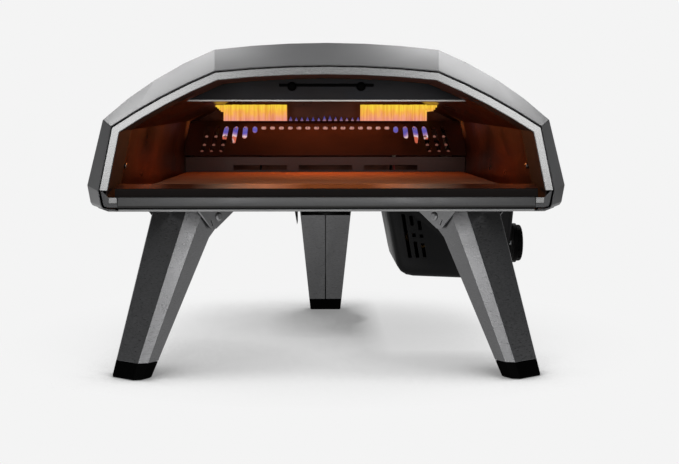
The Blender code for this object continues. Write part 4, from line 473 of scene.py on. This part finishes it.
tube_low, tube_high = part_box("burner_tube")
BURNER_Y = (tube_low.y + tube_high.y) / 2
FLAME_FOOT = tube_high.z + 0.0006
GLOW_FOOT = 0.282                   # where the flames' colours start, at the guard's rim
FLAME_TOP = 0.3067                  # just under the ceiling
GAP_TINT = (0.62, 0.3, 0.1, 1)      # the orange of the gaps between streaks of flame
STREAK_RISE = 16
WISP_RISE = 90
WISP_SHIFT = 0.16

# One flame's outline, as shares of its radius.
TONGUE_SIDES = 6
TONGUE_RINGS = 5
TONGUE_DEPTH = 0.8
BLUNT_WIDTH = 0.8
FOOT_WIDTH = 0.55
BELLY = 1.6

# The two tall fires: a row of flames over the tube, from near the middle out to each end.
TALL_COUNT = 34
TALL_NEAR = {"left": 0.058, "right": 0.0535}
TALL_FAR = 0.1455
TALL_RADIUS = 0.0032
TALL_LEAN = 0.001
TALL_LEVEL_PLAY = 0.0004
TALL_SWAY = 0.003
TALL_SWAY_STEP = 2.4

# The licks that roll forward under the ceiling at the outer end of each fire.
LICK_TOP = 0.3042
LICK_ROWS_Y = (0.055, 0.075, 0.095, 0.115, 0.135)
LICK_HEIGHTS = {"left": (0.009, 0.007, 0.0045, 0.0025), "right": (0.004, 0.006, 0.008, 0.006, 0.003)}
LICK_FIRST_X = 0.1415
LICK_PITCH = 0.0024
LICK_RADIUS = 0.0018

# The blue flames seen through the guard's upright slots, and painted glints in the holes beside them: glowing spots
# that stand in for the flames' reflection.
SLOT_Y = BURNER_Y - 0.0155
SLOT_FIRST_X = 0.1006
SLOT_PITCH = 0.0133
SLOT_SPANS = ((0.2655, 0.276), (0.258, 0.2765), (0.253, 0.2765), (0.2585, 0.2765))
SLOT_SPAN_SPARE = 0.002
SLOT_LEAN = 0.0012
SLOT_STRAND = 0.003
SLOT_RADIUS = 0.0022
PAINTED_GLINT_ROWS_Z = (0.2592, 0.2472, 0.238)
PAINTED_GLINTS_A_ROW = 3
PAINTED_GLINT_FIRST_SLOT = 3
PAINTED_GLINT_ROW_SHIFT = 0.0035
PAINTED_GLINT_BEFORE_SLOT = 0.006
PAINTED_GLINT_HEIGHT = 0.0034
PAINTED_GLINT_RADIUS = 0.003

# The low blue flames between the fires, and the row of pilot flames seen through the round holes.
BLUE_COUNT = 13
BLUE_FIRST_X = -0.0505
BLUE_PITCH = 0.0082
BLUE_HEIGHT = 0.0142
BLUE_HEIGHT_PLAY = 0.0034
BLUE_RADIUS = 0.0034
PILOT_COUNT = 41
PILOT_FIRST_X = -0.094
PILOT_PITCH = 0.0047
PILOT_Y = BURNER_Y - 0.0135
PILOT_FOOT = 0.2672
PILOT_HEIGHT = 0.0108
PILOT_RADIUS = 0.0026


def flame_material(name, stops, low, high, strength, streaks=330, depth=0.5):
    """Glowing gas: colour by height, with darker orange gaps in upright streaks."""
    made = Finish(name)
    height = made.spread(made.axis(Z), low, high)
    streak = made.noise((streaks, streaks, STREAK_RISE), detail=3, roughness=0.65)
    wisp = made.noise((streaks * 0.4, streaks * 0.4, WISP_RISE), detail=2, roughness=0.5)
    shift = made.spread(wisp, *USUAL, out_low=-WISP_SHIFT, out_high=WISP_SHIFT)
    colour = made.ramp(made.math("ADD", height, shift), stops)
    gaps = made.spread(streak, 0.36, 0.58, out_low=depth, out_high=0.0)
    colour = made.mix(gaps, colour, made.mix(1.0, colour, GAP_TINT, "MULTIPLY"))
    made.set(Base_Color=(0, 0, 0, 1), Roughness=1.0, Emission_Color=colour, Emission_Strength=strength)
    made.set(Specular_IOR_Level=0.0)
    return made.material


tall_flame = flame_material(
    "look_tall_flame", ((0.0, rgb(240, 156, 138)), (0.3, rgb(248, 170, 116)), (0.55, rgb(252, 184, 82)),
                        (0.8, rgb(252, 208, 70)), (1.0, rgb(250, 214, 66))),
    low=GLOW_FOOT, high=FLAME_TOP, strength=1.0)
blue_flame = flame_material(
    "look_blue_flame", ((0.0, rgb(190, 140, 140)), (0.35, rgb(90, 84, 170)), (1.0, rgb(52, 50, 112))),
    low=GLOW_FOOT, high=0.293, strength=0.7, depth=0.2)
slot_flame = flame_material(
    "look_slot_flame", ((0.0, rgb(220, 110, 84)), (0.12, rgb(250, 226, 226)), (0.3, rgb(172, 134, 190)),
                        (0.55, rgb(98, 90, 188)), (1.0, rgb(124, 112, 190))),
    low=0.2585, high=0.2745, strength=0.85, depth=0.15)
pilot_glow = flame_material("look_pilot_glow", ((0.0, rgb(184, 120, 108)), (1.0, rgb(214, 174, 164))),
                            low=0.268, high=0.28, strength=0.95, depth=0.25)
# Painted glints: a glow behind the small holes that stands in for the flames' reflection on their rims.
painted_glint_glow = flame_material("look_painted_glint", ((0.0, rgb(150, 92, 80)), (1.0, rgb(190, 130, 116))),
                          low=0.236, high=0.262, strength=0.42, streaks=420, depth=0.4)


def tongue(x, y, low, height, radius, lean=0.0, blunt=False):
    """Points and faces of one flame: a drop that stands on its port, or is cut short by the ceiling."""
    points = []
    for ring in range(TONGUE_RINGS):
        share = ring / TONGUE_RINGS
        drop = (FOOT_WIDTH + BELLY * share * (1 - share)) * (1 - share ** 3)
        width = radius * (BLUNT_WIDTH if blunt else drop)
        shift = lean * share * share
        # The last ring of a blunt flame is level with its tip.
        level = height if blunt and ring == TONGUE_RINGS - 1 else height * share
        for side in range(TONGUE_SIDES):
            angle = math.tau * side / TONGUE_SIDES
            points.append((x + shift + width * math.cos(angle), y + width * TONGUE_DEPTH * math.sin(angle),
                           low + level))
    points.append((x + lean, y, low + height))
    faces = [tuple(reversed(range(TONGUE_SIDES)))]
    for ring in range(TONGUE_RINGS - 1):
        for side in range(TONGUE_SIDES):
            here = ring * TONGUE_SIDES + side
            beside = ring * TONGUE_SIDES + (side + 1) % TONGUE_SIDES
            faces.append((here, beside, beside + TONGUE_SIDES, here + TONGUE_SIDES))
    tip = len(points) - 1
    base = tip - TONGUE_SIDES
    for side in range(TONGUE_SIDES):
        faces.append((base + side, base + (side + 1) % TONGUE_SIDES, tip))
    return points, faces


def flame_piece(name, tongues, material):
    """One piece on the oven's body that holds a group of flames."""
    points = []
    faces = []
    for these_points, these_faces in tongues:
        base = len(points)
        points += these_points
        faces += [tuple(base + index for index in face) for face in these_faces]
    mesh = bpy.data.meshes.new(name)
    mesh.from_pydata(points, [], faces)
    mesh.polygons.foreach_set("use_smooth", [True] * len(mesh.polygons))
    mesh.materials.append(material)
    piece = bpy.data.objects.new(name, mesh)
    bpy.context.scene.collection.objects.link(piece)
    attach(piece, "oven")


def tall_tongues(side, near):
    """One side's tall fire, which fills the height from the tube to the ceiling."""
    tongues = []
    for index in range(TALL_COUNT):
        x = side * (near + (TALL_FAR - near) * index / (TALL_COUNT - 1))
        y = BURNER_Y + TALL_SWAY * math.sin(index * TALL_SWAY_STEP)
        height = FLAME_TOP - FLAME_FOOT - TALL_LEVEL_PLAY * rng.random()
        tongues.append(tongue(x, y, FLAME_FOOT, height, TALL_RADIUS, TALL_LEAN * (rng.random() - 0.5), blunt=True))
    return tongues


def lick_tongues(side, heights):
    """Flames that roll forward under the ceiling on one side, lower toward the outside."""
    return [tongue(side * (LICK_FIRST_X + LICK_PITCH * index), y, LICK_TOP - height, height, LICK_RADIUS, blunt=True)
            for y in LICK_ROWS_Y for index, height in enumerate(heights)]


def slot_tongues(side):
    """Three flames side by side behind each upright slot of one side."""
    tongues = []
    for index, (low, high) in enumerate(SLOT_SPANS):
        x = side * (SLOT_FIRST_X + SLOT_PITCH * index)
        for step in (-1, 0, 1):
            tongues.append(tongue(x + side * SLOT_LEAN * index + step * SLOT_STRAND, SLOT_Y, low - SLOT_SPAN_SPARE,
                                  high - low + 2 * SLOT_SPAN_SPARE, SLOT_RADIUS))
    return tongues


def painted_glint_tongues(side):
    """A painted glint behind each of the small holes of one side: a glowing spot that stands in for the flames'
    reflection on the holes' rims.
    """
    tongues = []
    for row, z in enumerate(PAINTED_GLINT_ROWS_Z):
        for index in range(PAINTED_GLINTS_A_ROW):
            x = side * (SLOT_FIRST_X + SLOT_PITCH * (PAINTED_GLINT_FIRST_SLOT + index) + PAINTED_GLINT_ROW_SHIFT * (1 + row))
            tongues.append(tongue(x, SLOT_Y - PAINTED_GLINT_BEFORE_SLOT, z, PAINTED_GLINT_HEIGHT, PAINTED_GLINT_RADIUS))
    return tongues


for word, side in (("left", -1), ("right", 1)):
    flame_piece("flame_tall_" + word, tall_tongues(side, TALL_NEAR[word]), tall_flame)
    flame_piece("flame_lick_" + word, lick_tongues(side, LICK_HEIGHTS[word]), tall_flame)
    flame_piece("flame_slot_" + word, slot_tongues(side), slot_flame)
    flame_piece("painted_glint_" + word, painted_glint_tongues(side), painted_glint_glow)
flame_piece("flame_blue_middle", [
    tongue(BLUE_FIRST_X + BLUE_PITCH * index, BURNER_Y, FLAME_FOOT, BLUE_HEIGHT + BLUE_HEIGHT_PLAY * rng.random(),
           BLUE_RADIUS) for index in range(BLUE_COUNT)], blue_flame)
flame_piece("flame_front_row", [
    tongue(PILOT_FIRST_X + PILOT_PITCH * index, PILOT_Y, PILOT_FOOT, PILOT_HEIGHT, PILOT_RADIUS)
    for index in range(PILOT_COUNT)], pilot_glow)

WHITE = (1, 1, 1)
FIRE_COLOUR = (1.0, 0.3, 0.08)
OVEN_MIDDLE = (0, 0, 0.25)
STONE_FRONT = (0, -0.25, 0.2)


def lamp(name, place, target, width, height, watts, colour=WHITE):
    """A rectangular lamp at a place, turned to its target."""
    data = bpy.data.lights.new(name, "AREA")
    data.energy = watts
    data.color = colour
    data.shape = "RECTANGLE"
    data.size = width
    data.size_y = height
    made = bpy.data.objects.new(name, data)
    bpy.context.scene.collection.objects.link(made)
    made.location = place
    made.rotation_euler = (Vector(target) - Vector(place)).to_track_quat("-Z", "Y").to_euler()


lamp("front_box", (0, -2.4, 2.0), OVEN_MIDDLE, width=2.2, height=0.7, watts=13)
lamp("front_left_strip", (-0.62, -2.5, 0.62), OVEN_MIDDLE, width=0.5, height=1.2, watts=12)
lamp("front_right_strip", (0.62, -2.5, 0.62), OVEN_MIDDLE, width=0.5, height=1.2, watts=12)
lamp("rear_left_box", (-1.3, 2.8, 2.1), OVEN_MIDDLE, width=1.7, height=1.6, watts=31)
lamp("rear_right_box", (1.2, 2.8, 2.15), OVEN_MIDDLE, width=1.7, height=1.6, watts=33)
lamp("top_box", (0, 1.0, 2.5), OVEN_MIDDLE, width=2.6, height=1.6, watts=12.6)
lamp("fire_glow", (0, 0.12, 0.31), STONE_FRONT, width=0.24, height=0.03, watts=0.34, colour=FIRE_COLOUR)

BACKGROUND = rgb(244, 244, 244)
FLOOR_COLOUR = rgb(200, 200, 200)   # what the floor sends back up at the oven
CEILING = rgb(88, 89, 90)           # the studio's, which dims what metal shows from above
SWEEP_TOP = (0.04, 0.16)        # a direction's rise, from where the pale sweep fades to where it ends
SWEEP_SHARE = 0.32              # how much of it a glossy face shows


def studio_world(pale, dim):
    """A pale backdrop all round for the camera, metal and glass, and a dim ceiling above it."""
    world = bpy.data.worlds.new("studio")
    bpy.context.scene.world = world
    world.use_nodes = True
    tree = world.node_tree
    tree.nodes.clear()
    out = tree.nodes.new("ShaderNodeOutputWorld")
    shades = []
    for colour in (dim, pale):
        shade = tree.nodes.new("ShaderNodeBackground")
        shade.inputs["Color"].default_value = colour
        shades.append(shade)
    path = tree.nodes.new("ShaderNodeLightPath")
    way = tree.nodes.new("ShaderNodeTexCoord")
    split = tree.nodes.new("ShaderNodeSeparateXYZ")
    tree.links.new(way.outputs["Generated"], split.inputs[0])
    rise = tree.nodes.new("ShaderNodeMapRange")
    for key, number in zip(("From Min", "From Max", "To Min", "To Max"), (*SWEEP_TOP, SWEEP_SHARE, 0.0)):
        rise.inputs[key].default_value = number
    tree.links.new(split.outputs["Z"], rise.inputs["Value"])
    last = None
    for operation, first, second in (("MULTIPLY", path.outputs["Is Glossy Ray"], rise.outputs["Result"]),
                                     ("MAXIMUM", None, path.outputs["Is Camera Ray"]),
                                     ("MAXIMUM", None, path.outputs["Is Transmission Ray"])):
        step = tree.nodes.new("ShaderNodeMath")
        step.operation = operation
        tree.links.new(first or last, step.inputs[0])
        tree.links.new(second, step.inputs[1])
        last = step.outputs["Value"]
    blend = tree.nodes.new("ShaderNodeMixShader")
    tree.links.new(last, blend.inputs["Fac"])
    tree.links.new(shades[0].outputs[0], blend.inputs[1])
    tree.links.new(shades[1].outputs[0], blend.inputs[2])
    tree.links.new(blend.outputs[0], out.inputs["Surface"])


studio_world(BACKGROUND, CEILING)

FLOOR_REACH = 30.0
FLOOR_DROP = 0.0004             # just under the feet
# How far each shade under the oven looks for cover, the openness at which it is darkest and at
# which it ends, and what it leaves of the light at its darkest.
CLOSE_SHADE = (0.2, 0.66, 0.8, 0.42)
WIDE_SHADE = (1.0, 0.22, 0.6, 0.7)
COVER_SAMPLES = 10
# The close shade is left out on the right, behind the front feet, but for a ring round the rear foot.
OPEN_FROM_X = (0.0, 0.08)
OPEN_FROM_Y = (-0.25, -0.12)
REAR_FOOT = (0, 0.11, 0)
REAR_FOOT_SHADE = (0.015, 0.065)
# Metal sees less of the floor far from the oven.
DIM_BESIDE = (0.4, 1.1, 1.0, 0.25)
DIM_AHEAD = (0.6, 1.6, 1.0, 0.35)
# The share of the backdrop's even light in the floor, under the oven and away from it.
EVEN_LIGHT = (0.2, 0.42, 0.92, 1.0)


def cover_shade(made, reach, low, high, darkest):
    """A factor that is darkest where the oven covers the floor within reach, and 1 in the open."""
    cover = made.node("ShaderNodeAmbientOcclusion", samples=COVER_SAMPLES)
    cover.inputs["Distance"].default_value = reach
    return made.spread(cover.outputs["AO"], low, high, darkest, 1.0)


def pale_floor():
    """A floor as pale as the backdrop, with the oven's shade on it."""
    mesh = bpy.data.meshes.new("floor")
    corners = [(-FLOOR_REACH, -FLOOR_REACH, 0), (FLOOR_REACH, -FLOOR_REACH, 0), (FLOOR_REACH, FLOOR_REACH, 0),
               (-FLOOR_REACH, FLOOR_REACH, 0)]
    mesh.from_pydata(corners, [], [(0, 1, 2, 3)])
    floor = bpy.data.objects.new("floor", mesh)
    bpy.context.scene.collection.objects.link(floor)
    floor.location.z = -FLOOR_DROP
    made = Finish("look_floor")
    path = made.node("ShaderNodeLightPath")
    by_camera, by_glass = path.outputs["Is Camera Ray"], path.outputs["Is Transmission Ray"]
    seen = made.highest(by_camera, path.outputs["Is Glossy Ray"], by_glass)
    made.set(Base_Color=made.mix(seen, FLOOR_COLOUR, BACKGROUND), Roughness=0.9, Specular_IOR_Level=0.1)
    along, across = made.axis(Y), made.axis(X)
    close = cover_shade(made, *CLOSE_SHADE)
    wide = cover_shade(made, *WIDE_SHADE)
    open_side = made.math("MULTIPLY", made.spread(across, *OPEN_FROM_X), made.spread(along, *OPEN_FROM_Y))
    open_side = made.math("MULTIPLY", open_side, made.spread(made.distance(REAR_FOOT), *REAR_FOOT_SHADE))
    shade = made.math("MULTIPLY", made.highest(close, open_side), wide)
    falloff = made.math("MULTIPLY", made.spread(across, *DIM_BESIDE),
                        made.spread(made.math("ABSOLUTE", along), *DIM_AHEAD))
    falloff = made.highest(falloff, by_camera, by_glass)
    glow = made.node("ShaderNodeEmission")
    made.link(made.mix(1.0, BACKGROUND, made.math("MULTIPLY", shade, falloff), "MULTIPLY"), glow.inputs["Color"])
    even = made.spread(made.distance((0, 0, 0)), *EVEN_LIGHT)
    blend = made.node("ShaderNodeMixShader")
    made.link(made.math("MULTIPLY", even, seen), blend.inputs["Fac"])
    made.link(made.shader.outputs[0], blend.inputs[1])
    made.link(glow.outputs[0], blend.inputs[2])
    made.link(blend.outputs[0], made.output.inputs["Surface"])
    mesh.materials.append(made.material)


pale_floor()

camera_data = bpy.data.cameras.new("camera")
camera_data.sensor_width = SENSOR_WIDTH
camera_data.lens = FOCAL_PIXELS / PHOTO_WIDTH * SENSOR_WIDTH
camera_data.clip_start = NEAREST_SEEN
camera = bpy.data.objects.new("camera", camera_data)
bpy.context.scene.collection.objects.link(camera)
camera.location = CAMERA_PLACE
camera.rotation_euler = (math.pi / 2 + CAMERA_PITCH, 0, CAMERA_YAW)
bpy.context.scene.camera = camera
bpy.context.scene.view_settings.view_transform = "Standard"
